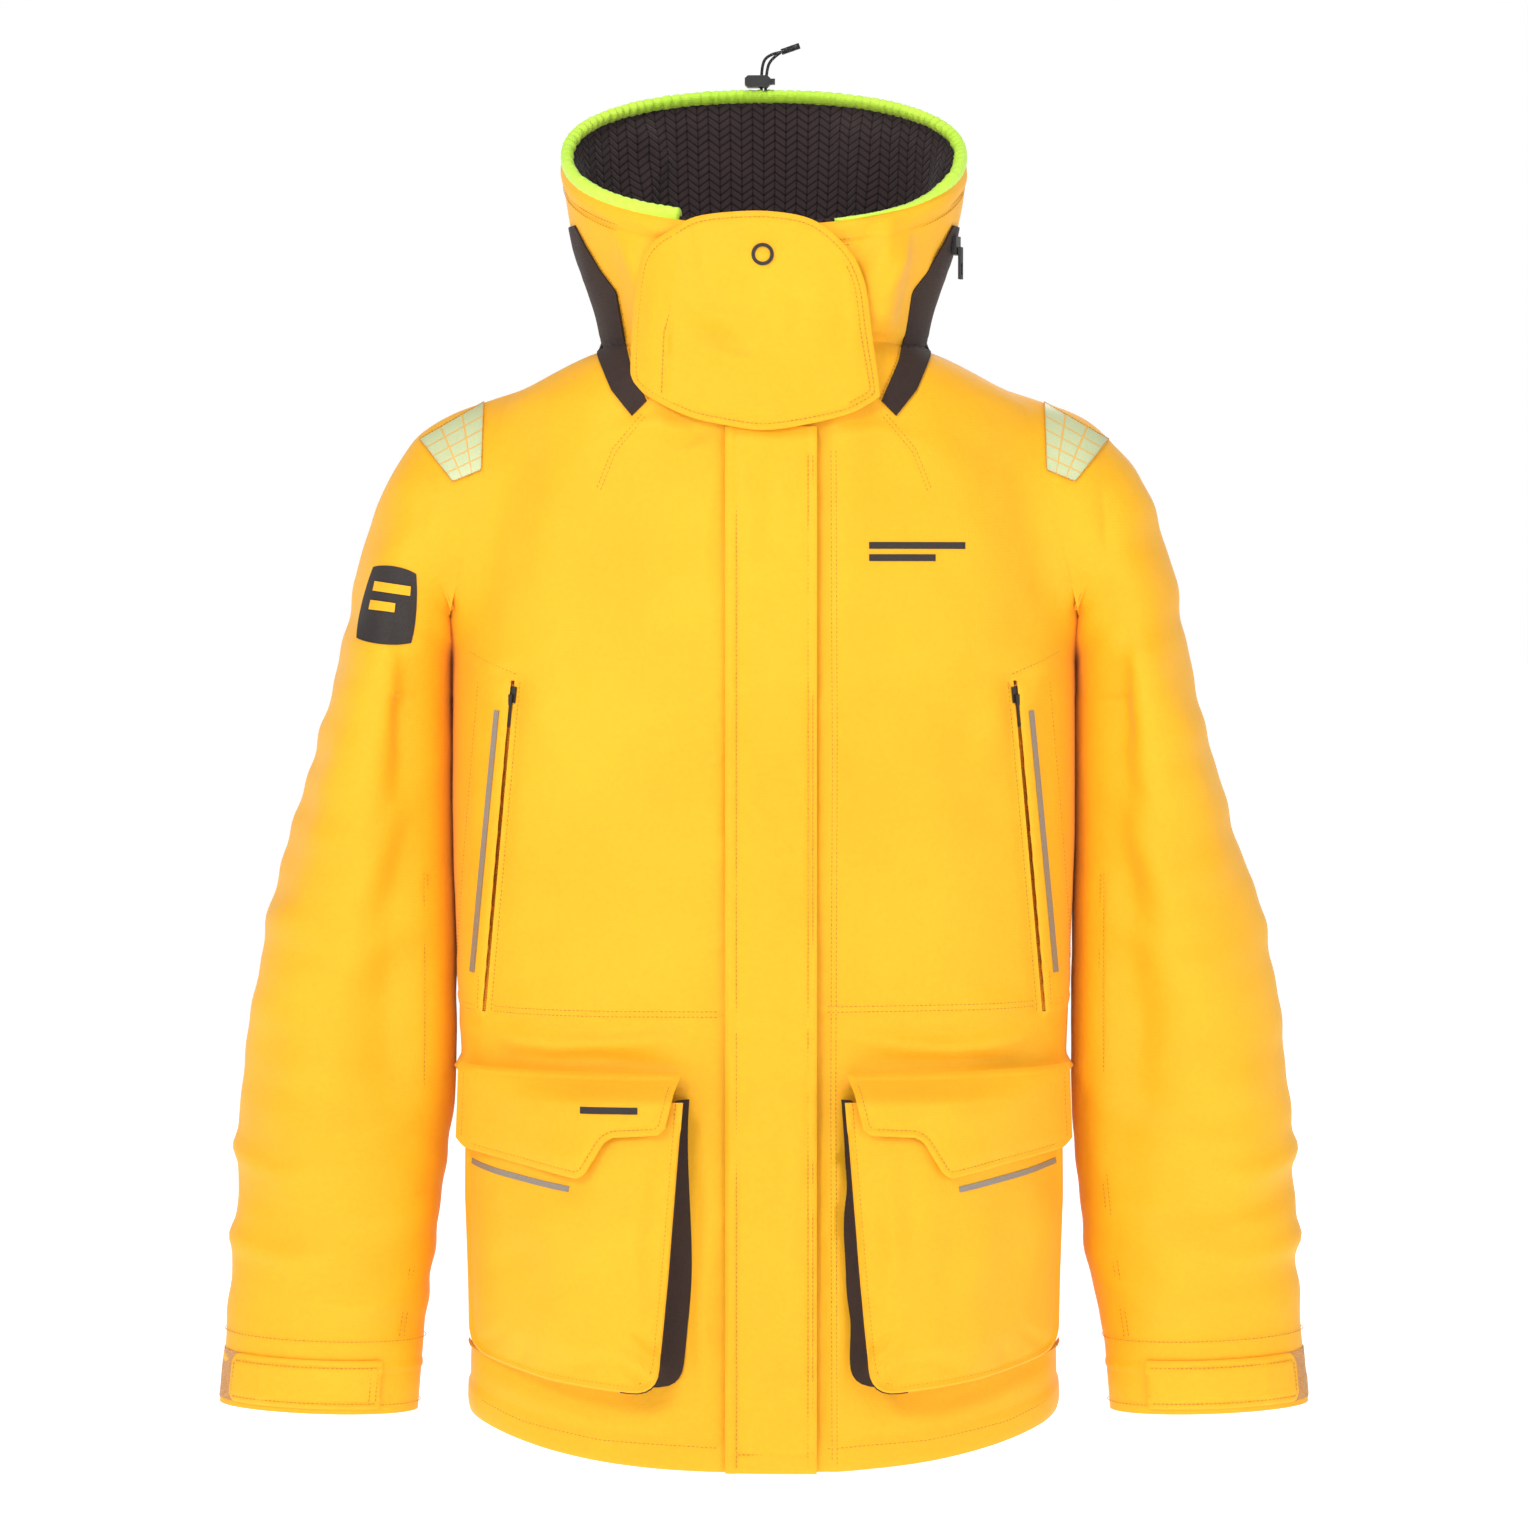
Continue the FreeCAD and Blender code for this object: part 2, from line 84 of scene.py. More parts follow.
def noise(nodes, links, vector, scale, detail=3.0, rough=0.5):
    n = nodes.new("ShaderNodeTexNoise")
    n.inputs["Scale"].default_value = scale
    n.inputs["Detail"].default_value = detail
    n.inputs["Roughness"].default_value = rough
    links.new(vector, n.inputs["Vector"])
    return n.outputs["Fac"]


def wave(nodes, links, vector, scale, direction):
    n = nodes.new("ShaderNodeTexWave")
    n.bands_direction = direction
    n.inputs["Scale"].default_value = scale
    n.inputs["Distortion"].default_value = 0.4
    n.inputs["Detail Scale"].default_value = 2.0
    links.new(vector, n.inputs["Vector"])
    return n.outputs["Fac"]


def bump(nodes, links, shader, height, depth, strength=1.0):
    n = nodes.new("ShaderNodeBump")
    n.inputs["Strength"].default_value = strength
    n.inputs["Distance"].default_value = depth
    links.new(height, n.inputs["Height"])
    links.new(n.outputs["Normal"], shader.inputs["Normal"])


def blend_colors(nodes, links, fac, low, high, a, b):
    n = nodes.new("ShaderNodeValToRGB")
    n.color_ramp.elements[0].position = a
    n.color_ramp.elements[1].position = b
    n.color_ramp.elements[0].color = (*low, 1)
    n.color_ramp.elements[1].color = (*high, 1)
    links.new(fac, n.inputs["Fac"])
    return n.outputs["Color"]


def fabric(name, light, dark, rough=0.6, pitch=0.0011, depth=0.00005, sheen=0.1, mottle=7.0,
           soft=0.0009):
    """Woven cloth: fine crossed threads, faint mottling and soft creasing."""
    m, nodes, links, shader = nodes_of(name)
    coords = nodes.new("ShaderNodeTexCoord").outputs["Object"]
    big = noise(nodes, links, coords, mottle, 4.0, 0.55)
    fine = noise(nodes, links, coords, 260.0, 2.0)
    grain = math_node(nodes, links, "MULTIPLY_ADD", fine, 0.35, math_node(
        nodes, links, "MULTIPLY", big, 0.65))
    color = blend_colors(nodes, links, grain, dark, light, 0.36, 0.62)
    links.new(color, shader.inputs["Base Color"])
    scale = 1 / pitch / 6.283 * 2
    x, y, z = (wave(nodes, links, coords, scale, d) for d in "XYZ")
    weave = math_node(nodes, links, "MULTIPLY", math_node(nodes, links, "ADD", x, y), z)
    crease = noise(nodes, links, coords, 38.0, 3.0)
    height = math_node(nodes, links, "MULTIPLY_ADD", crease, soft / depth, weave)
    bump(nodes, links, shader, height, depth)
    spread = math_node(nodes, links, "MULTIPLY_ADD", fine, 0.14, rough - 0.07)
    links.new(spread, shader.inputs["Roughness"])
    shader.inputs["Sheen Weight"].default_value = sheen
    shader.inputs["Sheen Roughness"].default_value = 0.45
    shader.inputs["Specular IOR Level"].default_value = 0.35
    return m


def plain(name, color, rough, speck=0.0, metal=0.0, grain=420.0, depth=0.00004):
    """Moulded plastic, thread or metal with a fine grain."""
    m, nodes, links, shader = nodes_of(name)
    coords = nodes.new("ShaderNodeTexCoord").outputs["Object"]
    g = noise(nodes, links, coords, grain, 4.0)
    low = tuple(c * (1 - speck) for c in color)
    links.new(blend_colors(nodes, links, g, low, color, 0.35, 0.6), shader.inputs["Base Color"])
    links.new(math_node(nodes, links, "MULTIPLY_ADD", g, 0.2, rough - 0.1),
              shader.inputs["Roughness"])
    shader.inputs["Metallic"].default_value = metal
    bump(nodes, links, shader, g, depth)
    return m


YELLOW = fabric("shell_fabric", (0.950, 0.475, 0.010), (0.930, 0.430, 0.005))
YELLOW_IN = fabric("shell_inside", (0.86, 0.42, 0.015), (0.80, 0.36, 0.010), rough=0.75)
DARK = fabric("dark_stretch", (0.040, 0.021, 0.016), (0.026, 0.013, 0.010), rough=0.8,
              pitch=0.0014, depth=0.0001, sheen=0.04)
NEON = fabric("neon_elastic", (0.66, 0.97, 0.085), (0.52, 0.90, 0.05), rough=0.5,
              pitch=0.0016, depth=0.00012, sheen=0.15)
TAN = fabric("hook_loop_tan", (0.80, 0.36, 0.060), (0.66, 0.26, 0.035), rough=0.9,
             pitch=0.0012, depth=0.0004, sheen=0.5, mottle=500.0)
TAPE = fabric("zip_tape", (0.15, 0.09, 0.05), (0.10, 0.06, 0.03), rough=0.8, pitch=0.0012,
              depth=0.0001)
AMBER = fabric("zip_tape_amber", (0.92, 0.38, 0.012), (0.84, 0.31, 0.010), rough=0.75,
               pitch=0.0012, depth=0.0001)
WEB = fabric("webbing", (0.05, 0.035, 0.03), (0.03, 0.02, 0.02), rough=0.8, pitch=0.0018,
             depth=0.0002)
HOOK = fabric("hook_loop", (0.09, 0.075, 0.07), (0.05, 0.04, 0.04), rough=0.95, pitch=0.0014,
              depth=0.0004, sheen=0.6, mottle=600.0)
THREAD = plain("thread", (0.66, 0.29, 0.010), 0.6, 0.3)
BLACK = plain("moulded_black", (0.018, 0.016, 0.016), 0.42, 0.3)
PULL = plain("pull_rubber", (0.022, 0.020, 0.020), 0.6, 0.3)
GREY = plain("reflective_grey", (0.31, 0.265, 0.225), 0.45, 0.16, 0.25, 900.0)
MARK = plain("printed_mark", (0.030, 0.022, 0.020), 0.7, 0.4, 0.0, 700.0)
STEEL = plain("spring_steel", (0.55, 0.55, 0.57), 0.3, 0.2, 1.0)


# ---- Shape tables, as in the frame: millimetres ----
TORSO = [
    (-830, 224, 44, 2.5), (-723, 222, 45, 2.5), (-640, 225, 46, 2.5),
    (-495, 232, 50, 2.5), (-340, 237, 57, 2.5), (-215, 237, 61, 2.4),
    (-140, 231, 59, 2.3), (-95, 226, 53, 2.2), (-66, 219, 45, 2.15),
    (-45, 203, 37, 2.1), (-24, 168, 24, 2.1), (0, 121, 8, 2.1),
]
COLLAR = [
    (0, 121, 8, 2.1), (22, 125, 11, 2.1), (79, 144, 17, 2.15),
    (129, 152, 23, 2.2), (190, 156, 27, 2.2), (240, 158, 29, 2.2),
]
SLEEVE = [
    (0, -190, -32, -190, -196, 74, -78), (1, -258, -60, -242, -206, 84, -78),
    (2, -300, -137, -243, -246, 88, -78), (3, -321, -229, -243, -312, 88, -78),
    (4, -353, -343, -243, -396, 85, -80), (5, -383, -464, -242, -486, 78, -84),
    (6, -400, -600, -243, -606, 68, -90), (7, -409, -740, -259, -746, 52, -96),
    (8, -415, -800, -264, -806, 44, -98),
]
ZIP_X = 5.0


def smooth(rows, t):
    """Rows of a table at the values t, by a cubic that never overshoots."""
    r = np.array(rows, float)
    x, y = r[:, 0], r[:, 1:]
    h = np.diff(x)
    d = np.diff(y, axis=0) / h[:, None]
    m = np.zeros_like(y)
    m[0], m[-1] = d[0], d[-1]
    both = d[:-1] * d[1:]
    m[1:-1] = np.where(both > 0, 2 * both / (d[:-1] + d[1:] + 1e-12), 0)
    t = np.clip(np.asarray(t, float), x[0], x[-1])
    k = np.clip(np.searchsorted(x, t, side="right") - 1, 0, len(h) - 1)
    s, g = ((t - x[k]) / h[k])[..., None], h[k][..., None]
    return (y[k] * (1 + 2 * s) * (1 - s) ** 2 + m[k] * g * s * (1 - s) ** 2
            + y[k + 1] * s * s * (3 - 2 * s) - m[k + 1] * g * s * s * (1 - s))


def ease(t):
    t = np.clip(t, 0, 1)
    return t * t * (3 - 2 * t)


def front_y(z):
    return -232.0 + 0.026 * (z + 830.0)


def section(rows, z):
    half, back, power = np.moveaxis(smooth(rows, z), -1, 0)
    front = front_y(np.asarray(z, float))
    return half, (back - front) / 2, (back + front) / 2, power


def round_skin(rows, angle, z, off=0.0):
    """Angle 0 is the wearer's left side and -90 degrees the front."""
    half, deep, mid, power = section(rows, z)
    c, s = np.cos(angle), np.sin(angle)
    x = (half + off) * np.sign(c) * np.abs(c) ** (2 / power)
    y = mid + (deep + off) * np.sign(s) * np.abs(s) ** (2 / power)
    return np.stack([x, y, z + 0 * x], -1)


def sleeve_skin(t, angle, off=0.0):
    ox, oz, ix, iz, deep, mid = np.moveaxis(smooth(SLEEVE, t), -1, 0)
    wide = np.hypot(ox - ix, oz - iz) / 2
    nx, nz = (ox - ix) / 2 / wide, (oz - iz) / 2 / wide
    c = (wide + off) * np.cos(angle)
    y = mid - (deep + off) * np.sin(angle)
    return np.stack([(ox + ix) / 2 + c * nx, y, (oz + iz) / 2 + c * nz], -1)


# ---- Mesh helpers ----
SHELL_MM = 1.8  # thickness of the shell cloth


def mirror(sign):
    """1 leaves points where they are drawn and -1 carries them over to the other side."""
    return np.array([sign, 1, 1.0])


def grid_faces(rows, cols, closed=False):
    i = np.arange(rows - 1)[:, None] * cols
    j = np.arange(cols if closed else cols - 1)[None, :]
    k = (j + 1) % cols
    quads = np.stack([i + j, i + k, i + cols + k, i + cols + j], -1)
    return quads.reshape(-1, 4)


def normals(points, closed=False):
    """Unit normals of a grid of points, rows then columns."""
    du = np.gradient(points, axis=0)
    if closed:
        dv = (np.roll(points, -1, 1) - np.roll(points, 1, 1)) / 2
    else:
        dv = np.gradient(points, axis=1)
    n = np.cross(dv, du)
    return n / np.maximum(np.linalg.norm(n, axis=-1, keepdims=True), 1e-9)


def mesh_object(name, verts, faces, material, uvs=None, smooth_faces=True):
    mesh = bpy.data.meshes.new(name)
    mesh.from_pydata((np.asarray(verts) * MM).tolist(), [], np.asarray(faces).tolist()
                     if isinstance(faces, np.ndarray) else faces)
    if uvs is not None:
        layer = mesh.uv_layers.new(name="cloth")
        index = np.zeros(len(mesh.loops), int)
        mesh.loops.foreach_get("vertex_index", index)
        layer.data.foreach_set("uv", (np.asarray(uvs)[index] * MM).astype(np.float32).ravel())
    obj = bpy.data.objects.new(name, mesh)
    bpy.context.scene.collection.objects.link(obj)
    for m in material if isinstance(material, (list, tuple)) else [material]:
        mesh.materials.append(m)
    if smooth_faces:
        mesh.shade_smooth()
    return obj


def cut(obj, *planes):
    """Keeps what lies behind each plane (point, outward normal), in millimetres."""
    bm = bmesh.new()
    bm.from_mesh(obj.data)
    for point, normal in planes:
        bmesh.ops.bisect_plane(
            bm, geom=bm.verts[:] + bm.edges[:] + bm.faces[:], dist=1e-6,
            plane_co=Vector(point) * MM, plane_no=Vector(normal), clear_outer=True)
    bm.to_mesh(obj.data)
    bm.free()
    obj.data.shade_smooth()
    return obj


def face_out(obj, axis=None, way=None):
    """Turns a piece's faces away from an upright axis (x, y), or along a direction."""
    total = 0.0
    for f in obj.data.polygons:
        if way is None:
            c = f.center / MM
            total += f.normal.x * (c.x - axis[0]) + f.normal.y * (c.y - axis[1])
        else:
            total += f.normal.dot(Vector(way))
    if total < 0:
        obj.data.flip_normals()
    return obj


def thick(obj, mm, inside=None, offset=-1.0):
    """Gives a sheet its thickness behind its face, with another cloth on the inside."""
    s = obj.modifiers.new("thickness", "SOLIDIFY")
    s.thickness = mm * MM
    s.offset = offset
    s.use_quality_normals = True
    edges = obj.modifiers.new("crisp edges", "EDGE_SPLIT")
    edges.split_angle = math.radians(55)
    if inside:
        obj.data.materials.append(inside)
        s.material_offset = len(obj.data.materials) - 1
    return obj


def finish_piece(obj, body, slot, *nodes):
    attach(obj, body)
    if nodes:
        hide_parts(*nodes)
    return obj


def join(name, parts, material):
    """One mesh from a list of (points, faces)."""
    verts, faces, base = [], [], 0
    for v, f in parts:
        verts.append(np.asarray(v, float))
        faces += [tuple(int(i) + base for i in q) for q in f]
        base += len(v)
    return mesh_object(name, np.concatenate(verts), faces, material)


# ---- Relief: soft folds and creases drawn as strokes on the cloth ----
def stroke_field(a, b, strokes):
    """Height at the cloth points (a, b) of strokes (path, width, height, taper)."""
    total = np.zeros(np.shape(a))
    for path, width, height in strokes:
        p = np.array(path, float)
        best = np.full(np.shape(a), 1e9)
        along = np.zeros(np.shape(a))
        lengths = np.hypot(*np.diff(p, axis=0).T)
        run, whole = 0.0, lengths.sum()
        for (x0, y0), (x1, y1), l in zip(p, p[1:], lengths):
            t = np.clip(((a - x0) * (x1 - x0) + (b - y0) * (y1 - y0)) / (l * l), 0, 1)
            d = np.hypot(a - x0 - t * (x1 - x0), b - y0 - t * (y1 - y0))
            near = d < best
            best = np.where(near, d, best)
            along = np.where(near, (run + t * l) / whole, along)
            run += l
        taper = np.sin(math.pi * np.clip(0.06 + 0.88 * along, 0, 1)) ** 0.7
        total += height * taper * np.exp(-((best / width) ** 2))
    return total


def ripples(x, y, z, size, seed):
    """Gentle uneven waves about a size, the same on every run."""
    rng = np.random.default_rng(seed)
    total = 0
    for _ in range(9):
        d = rng.normal(size=3)
        d /= np.linalg.norm(d)
        k = TAU / (size * rng.uniform(0.7, 1.8))
        total = total + np.sin(k * (d[0] * x + d[1] * y + d[2] * z) + rng.uniform(0, TAU))
    return total / 3.0


# ---- Body skin: trunk and sleeves flow into each other at the armholes ----
SEAM_POINT = np.array([-190.0, 0.0, -33.0])
SEAM_NORMAL = np.array([-0.9646, 0.0, 0.2636])
SIDE_Y, WAIST_Z, YOKE_Z = -78.0, -495.0, -150.0
Z_ROWS = np.concatenate([np.linspace(-830, -100, 196), np.linspace(-97, -1, 42), [0.0]])
A_COLS = (np.arange(340) + 0.5) / 340 * TAU
SLEEVE_T = np.linspace(0.0, 8.0, 236)
SLEEVE_A = np.arange(132) / 132 * TAU


def capped(grid, step):
    """A closed tube from every few rows and columns of a grid of points."""
    g = grid[::step, ::step]
    rows, cols = g.shape[:2]
    faces = [tuple(q) for q in grid_faces(rows, cols, True)]
    faces += [tuple(range(cols))[::-1], tuple((rows - 1) * cols + i for i in range(cols))]
    return g.reshape(-1, 3), faces


def flowing_form(trunk, arm):
    """The trunk with both sleeves as one form, smoothed where they meet."""
    arm_v, arm_f = capped(arm, 4)
    left = (arm_v * [-1, 1, 1], [f[::-1] for f in arm_f])
    o = join("form", [capped(trunk, 4), (arm_v, arm_f), left], YELLOW)
    r = o.modifiers.new("union", "REMESH")
    r.mode = "VOXEL"
    r.voxel_size = 0.006
    bpy.context.view_layer.update()
    mesh = bpy.data.meshes.new_from_object(o.evaluated_get(bpy.context.evaluated_depsgraph_get()))
    v = np.empty(len(mesh.vertices) * 3)
    mesh.vertices.foreach_get("co", v)
    v = v.reshape(-1, 3) / MM
    e = np.empty(len(mesh.edges) * 2, int)
    mesh.edges.foreach_get("vertices", e)
    e = e.reshape(-1, 2)
    count = np.bincount(e.ravel(), minlength=len(v))[:, None]
    off = np.abs(-SEAM_NORMAL[0] * (np.abs(v[:, 0]) + SEAM_POINT[0])
                 + SEAM_NORMAL[2] * (v[:, 2] - SEAM_POINT[2]))
    weight = (ease((110 - off) / 70) * ease((v[:, 2] + 262) / 60))[:, None] * 0.6
    weight = np.maximum(weight, 0.0) * ease((-40 - v[:, 2:]) / 50)
    for _ in range(70):
        total = np.zeros_like(v)
        np.add.at(total, e[:, 0], v[e[:, 1]])
        np.add.at(total, e[:, 1], v[e[:, 0]])
        v += weight * (total / count - v)
    tree = BVHTree.FromPolygons(v.tolist(), [tuple(p.vertices) for p in mesh.polygons])
    bpy.data.objects.remove(o)
    return tree


def onto(tree, points, direction, reach=42.0):
    """Each point moved along its own direction onto the outside of a form."""
    p, d = points.reshape(-1, 3), direction.reshape(-1, 3)
    move, found = np.zeros(len(p)), np.zeros(len(p))
    near = (np.abs(p[:, 0]) > 100) & (p[:, 2] > -275)
    for i in np.nonzero(near)[0]:
        way = Vector(-d[i])
        at, left = Vector(p[i]) - way * reach, 2 * reach
        for _ in range(3):
            hit, face, _, run = tree.ray_cast(at, way, left)
            if hit is None or face.dot(way) < 0:
                break
            at, left = hit + way * 0.01, left - run
        if hit is not None and face.dot(way) < 0:
            move[i], found[i] = (np.array(hit) - p[i]) @ d[i], 1.0
    found[~near] = 1.0
    move, found = move.reshape(points.shape[:2]), found.reshape(points.shape[:2])
    for _ in range(8):
        total = blurred(move * found)
        weight = blurred(found)
        move = total / np.maximum(weight, 1e-6)
        found = np.maximum(found, weight)
    move = move * ease((points[..., 2] + 238) / 34)
    return points + direction * move[..., None]


def blurred(f):
    """A grid that closes round its columns, averaged with its neighbours."""
    f = (np.roll(f, 1, 1) + 2 * f + np.roll(f, -1, 1)) / 4
    up, down = np.concatenate([f[:1], f[:-1]]), np.concatenate([f[1:], f[-1:]])
    return (up + 2 * f + down) / 4


def outward(p, centre):
    n = normals(p, True)
    return n * np.sign((n * (p - centre)).sum(-1, keepdims=True))


def seam_mask(p, clear=6.0, wide=30.0):
    """0 beside the armhole seam and 1 away from it."""
    off = np.abs(-SEAM_NORMAL[0] * (np.abs(p[..., 0]) + SEAM_POINT[0])
                 + SEAM_NORMAL[2] * (p[..., 2] - SEAM_POINT[2]))
    return np.where(p[..., 2] > -262, ease((off - clear) / wide), 1.0)


aa, zz = np.meshgrid(A_COLS, Z_ROWS)
trunk = round_skin(TORSO, aa, zz)
arm_angle, arm_t = np.meshgrid(SLEEVE_A, SLEEVE_T)
arm = sleeve_skin(arm_t, arm_angle)
form = flowing_form(trunk, arm)
trunk = onto(form, trunk, outward(trunk, [0, -85, -60]))
arm_soft = onto(form, arm, outward(arm, arm.mean(1, keepdims=True)))
arm = arm + (arm_soft - arm) * ease((3.0 - arm_t) / 0.8)[..., None]


# Front creases: path across and up the front, width, height
FRONT_FOLDS = [
    ([(-225, -510), (-150, -519), (-60, -511)], 7, 3.4),
    ([(-205, -529), (-120, -527), (-50, -536)], 6, -2.6),
    ([(-190, -499), (-120, -508), (-70, -504)], 4, -1.8),
    ([(60, -511), (140, -522), (215, -512)], 7, 3.4),
    ([(70, -531), (150, -528), (210, -536)], 6, -2.6),
    ([(80, -502), (130, -510), (190, -500)], 4, -1.8),
    ([(-230, -236), (-204, -238), (-186, -246)], 3, 1.6),
    ([(230, -240), (206, -242), (187, -248)], 3, 1.6),
    ([(-30, -250), (-44, -262), (-60, -266)], 4, 1.6), ([(-30, -300), (-42, -312)], 4, 1.5),
    ([(-30, -350), (-44, -360)], 4, 1.4), ([(-30, -440), (-46, -450)], 4, 1.6),
    ([(44, -590), (58, -610), (66, -640)], 5, 1.8), ([(44, -700), (56, -716)], 4, 1.5),
    ([(-36, -92), (-44, -150), (-38, -230)], 7, 2.2),
    ([(-60, -70), (-80, -60), (-104, -64)], 6, 3.0),
    ([(-40, -66), (-58, -74), (-76, -70)], 5, -2.4),
    ([(52, -72), (84, -66), (110, -72)], 6, 2.6),
    ([(-44, -560), (-40, -640), (-46, -720), (-40, -800)], 7, 3.0),
    ([(54, -560), (50, -640), (57, -720), (50, -800)], 7, 3.0),
    ([(-214, -230), (-176, -262), (-150, -300)], 16, 3.0),
    ([(214, -228), (180, -268), (158, -312)], 16, 3.0),
    ([(-232, -470), (-200, -488), (-150, -484)], 10, 2.0),
    ([(230, -474), (200, -490), (150, -486)], 10, 2.0),
    ([(-120, -60), (-150, -120), (-165, -190)], 26, 3.0),
    ([(118, -60), (150, -125), (168, -195)], 26, 3.0),
    ([(-36, -250), (-40, -330), (-34, -420)], 9, 1.6),
    ([(46, -250), (50, -330), (45, -430)], 9, 1.6),
    ([(-224, -640), (-205, -660), (-190, -700)], 14, -2.0),
    ([(-200, -792), (-120, -800), (-60, -790)], 12, 2.4),
    ([(60, -790), (130, -800), (205, -790)], 12, 2.4),
]
BACK_FOLDS = [
    ([(-150, -230), (-60, -300), (0, -420), (40, -560)], 24, 4.0),
    ([(160, -240), (90, -330), (60, -450)], 22, 4.0),
    ([(-190, -480), (-60, -510), (80, -500), (200, -520)], 14, 3.0),
    ([(-120, -600), (-100, -700), (-110, -800)], 20, 3.5),
    ([(110, -600), (130, -700), (118, -800)], 20, 3.5),
    ([(-120, -60), (-90, -120), (-40, -170)], 22, 3.0),
    ([(120, -60), (90, -120), (40, -170)], 22, 3.0),
]


def body_relief(p):
    x, y, z = p[..., 0], p[..., 1], p[..., 2]
    front = ease((-60 - y) / 60)
    h = 1.5 * front * stroke_field(x, z, FRONT_FOLDS)
    h = h + 1.3 * (1 - front) * ease((y + 60) / 60) * stroke_field(x, z, BACK_FOLDS)
    open_cloth = 1 - front * np.maximum(ease((-515 - z) / 20), ease((42 - np.abs(x - 5)) / 10))
    flank = ease((np.abs(x) - 212) / 18) * ease((-190 - z) / 30)
    calm = ease((-20 - z) / 60) * (0.4 + 0.6 * open_cloth) * (1 - 0.85 * flank)
    h += calm * (2.2 * ripples(x, y, z * 0.55, 120, 3) + 0.8 * ripples(x, y, z, 50, 5))
    seam = np.minimum(np.abs(z - WAIST_Z), 40)
    h += 0.9 * ease((z - WAIST_Z) / 2) * ease((WAIST_Z + 9 - z) / 4) - 1.5 * np.exp(-(seam / 2) ** 2)
    h += 1.6 * ease((-806 - z) / 6) * ease((z + 829) / 4) - 0.4 * flank
    h *= 1 - front * zip_near(x, z, 16)
    h *= seam_mask(p) * ease(-z / 12)
    h += front * 6.5 * np.exp(-(((z + 542) / 5) ** 2)) * ease((np.abs(x) - 56) / 5)
    h += front * (3.0 * ease((x - 44) / 7) * ease((84 - x) / 34) + chest_slit(x, z))
    return h


def zip_near(x, z, reach):
    """1 beside a chest zip and 0 further than its reach."""
    along = (-250 - z) / 248
    off = np.abs(x) - (186 + 23 * along)
    return ease((along + 0.05) / 0.05) * ease((1.30 - along) / 0.08) * np.exp(-(off / reach) ** 2)


def chest_slit(x, z):
    """The welt beside each chest zip: a raised lip outside it and a dip inside."""
    along = (-250 - z) / 248
    off = np.abs(x) - (186 + 23 * along)
    here = ease((along + 0.02) / 0.03) * ease((1.02 - along) / 0.03)
    lip = 3.0 * ease((off + 1.5) / 2.5) * ease((30 - off) / 26)
    return here * (lip - 1.2 * np.exp(-((off + 5) / 5) ** 2))


def hem_lift(p):
    q = p.copy()
    fall = ease((-640 - p[:, 2]) / 190)
    q[:, 2] += 29 * fall * (np.abs(p[:, 0]) / 224) ** 2.6
    return q


trunk = trunk + outward(trunk, [0, -85, -60]) * body_relief(trunk)[..., None]
body = hem_lift(trunk.reshape(-1, 3))
uv = np.stack([aa.ravel() / TAU * 1250, zz.ravel()], -1)
faces = grid_faces(len(Z_ROWS), 340, True)


SLIT = 1.4
CLOTH = {}


def open_slit(obj, sign):
    """Opens the cloth along the chest zip."""
    a, b = np.array([sign * 186.0, -249.0]), np.array([sign * 209.0, -497.0])
    way = (b - a) / np.linalg.norm(b - a)
    out = np.array([-way[1], way[0]])
    bm = bmesh.new()
    bm.from_mesh(obj.data)
    for shift in (-SLIT, SLIT):
        q = (a + out * shift) * MM
        near = [f for f in bm.faces if abs((f.calc_center_median().x / MM - a[0]) * out[0] + (
            f.calc_center_median().z / MM - a[1]) * out[1]) < 12 and f.calc_center_median().y < -0.07]
        edges = list({e for f in near for e in f.edges})
        verts = list({v for f in near for v in f.verts})
        bmesh.ops.bisect_plane(bm, geom=verts + edges + near, dist=1e-6,
                               plane_co=(q[0], 0, q[1]), plane_no=(out[0], 0, out[1]))
    drop = []
    for f in bm.faces:
        c = f.calc_center_median() / MM
        along = (c.x - a[0]) * way[0] + (c.z - a[1]) * way[1]
        across = (c.x - a[0]) * out[0] + (c.z - a[1]) * out[1]
        if abs(across) < SLIT and 0 < along < 249 and c.y < -80:
            drop.append(f)
    bmesh.ops.delete(bm, geom=drop, context="FACES")
    bm.to_mesh(obj.data)
    bm.free()
    obj.data.shade_smooth()


def panel(name, keep, *planes):
    """One sewn panel of the body skin."""
    c = body[faces].mean(1)
    chosen = faces[keep(c)]
    used, local = np.unique(chosen, return_inverse=True)
    o = mesh_object(name + "_cloth", body[used], local.reshape(chosen.shape), YELLOW, uv[used])
    cut(o, *planes)
    if name.startswith("front_"):
        open_slit(o, -1 if "right" in name else 1)
    face_out(o, (0, -85))
    thick(o, SHELL_MM, YELLOW_IN)
    CLOTH[name] = finish_piece(o, "torso", "shell_fabric", name)


seam_r = (SEAM_POINT, SEAM_NORMAL)
seam_l = (SEAM_POINT * [-1, 1, 1], SEAM_NORMAL * [-1, 1, 1])
FRONT = ((0, SIDE_Y, 0), (0, 1, 0))
BACK = ((0, SIDE_Y, 0), (0, -1, 0))
ABOVE = ((0, 0, WAIST_Z), (0, 0, -1))
BELOW = ((0, 0, WAIST_Z), (0, 0, 1))
RIGHT = ((-2, 0, 0), (1, 0, 0))
LEFT = ((12, 0, 0), (-1, 0, 0))
panel("front_panel_right", lambda c: (c[:, 1] < -70) & (c[:, 0] < 5) & (c[:, 2] > -505),
      FRONT, ABOVE, RIGHT, seam_r)
panel("front_panel_left", lambda c: (c[:, 1] < -70) & (c[:, 0] > 5) & (c[:, 2] > -505),
      FRONT, ABOVE, LEFT, seam_l)
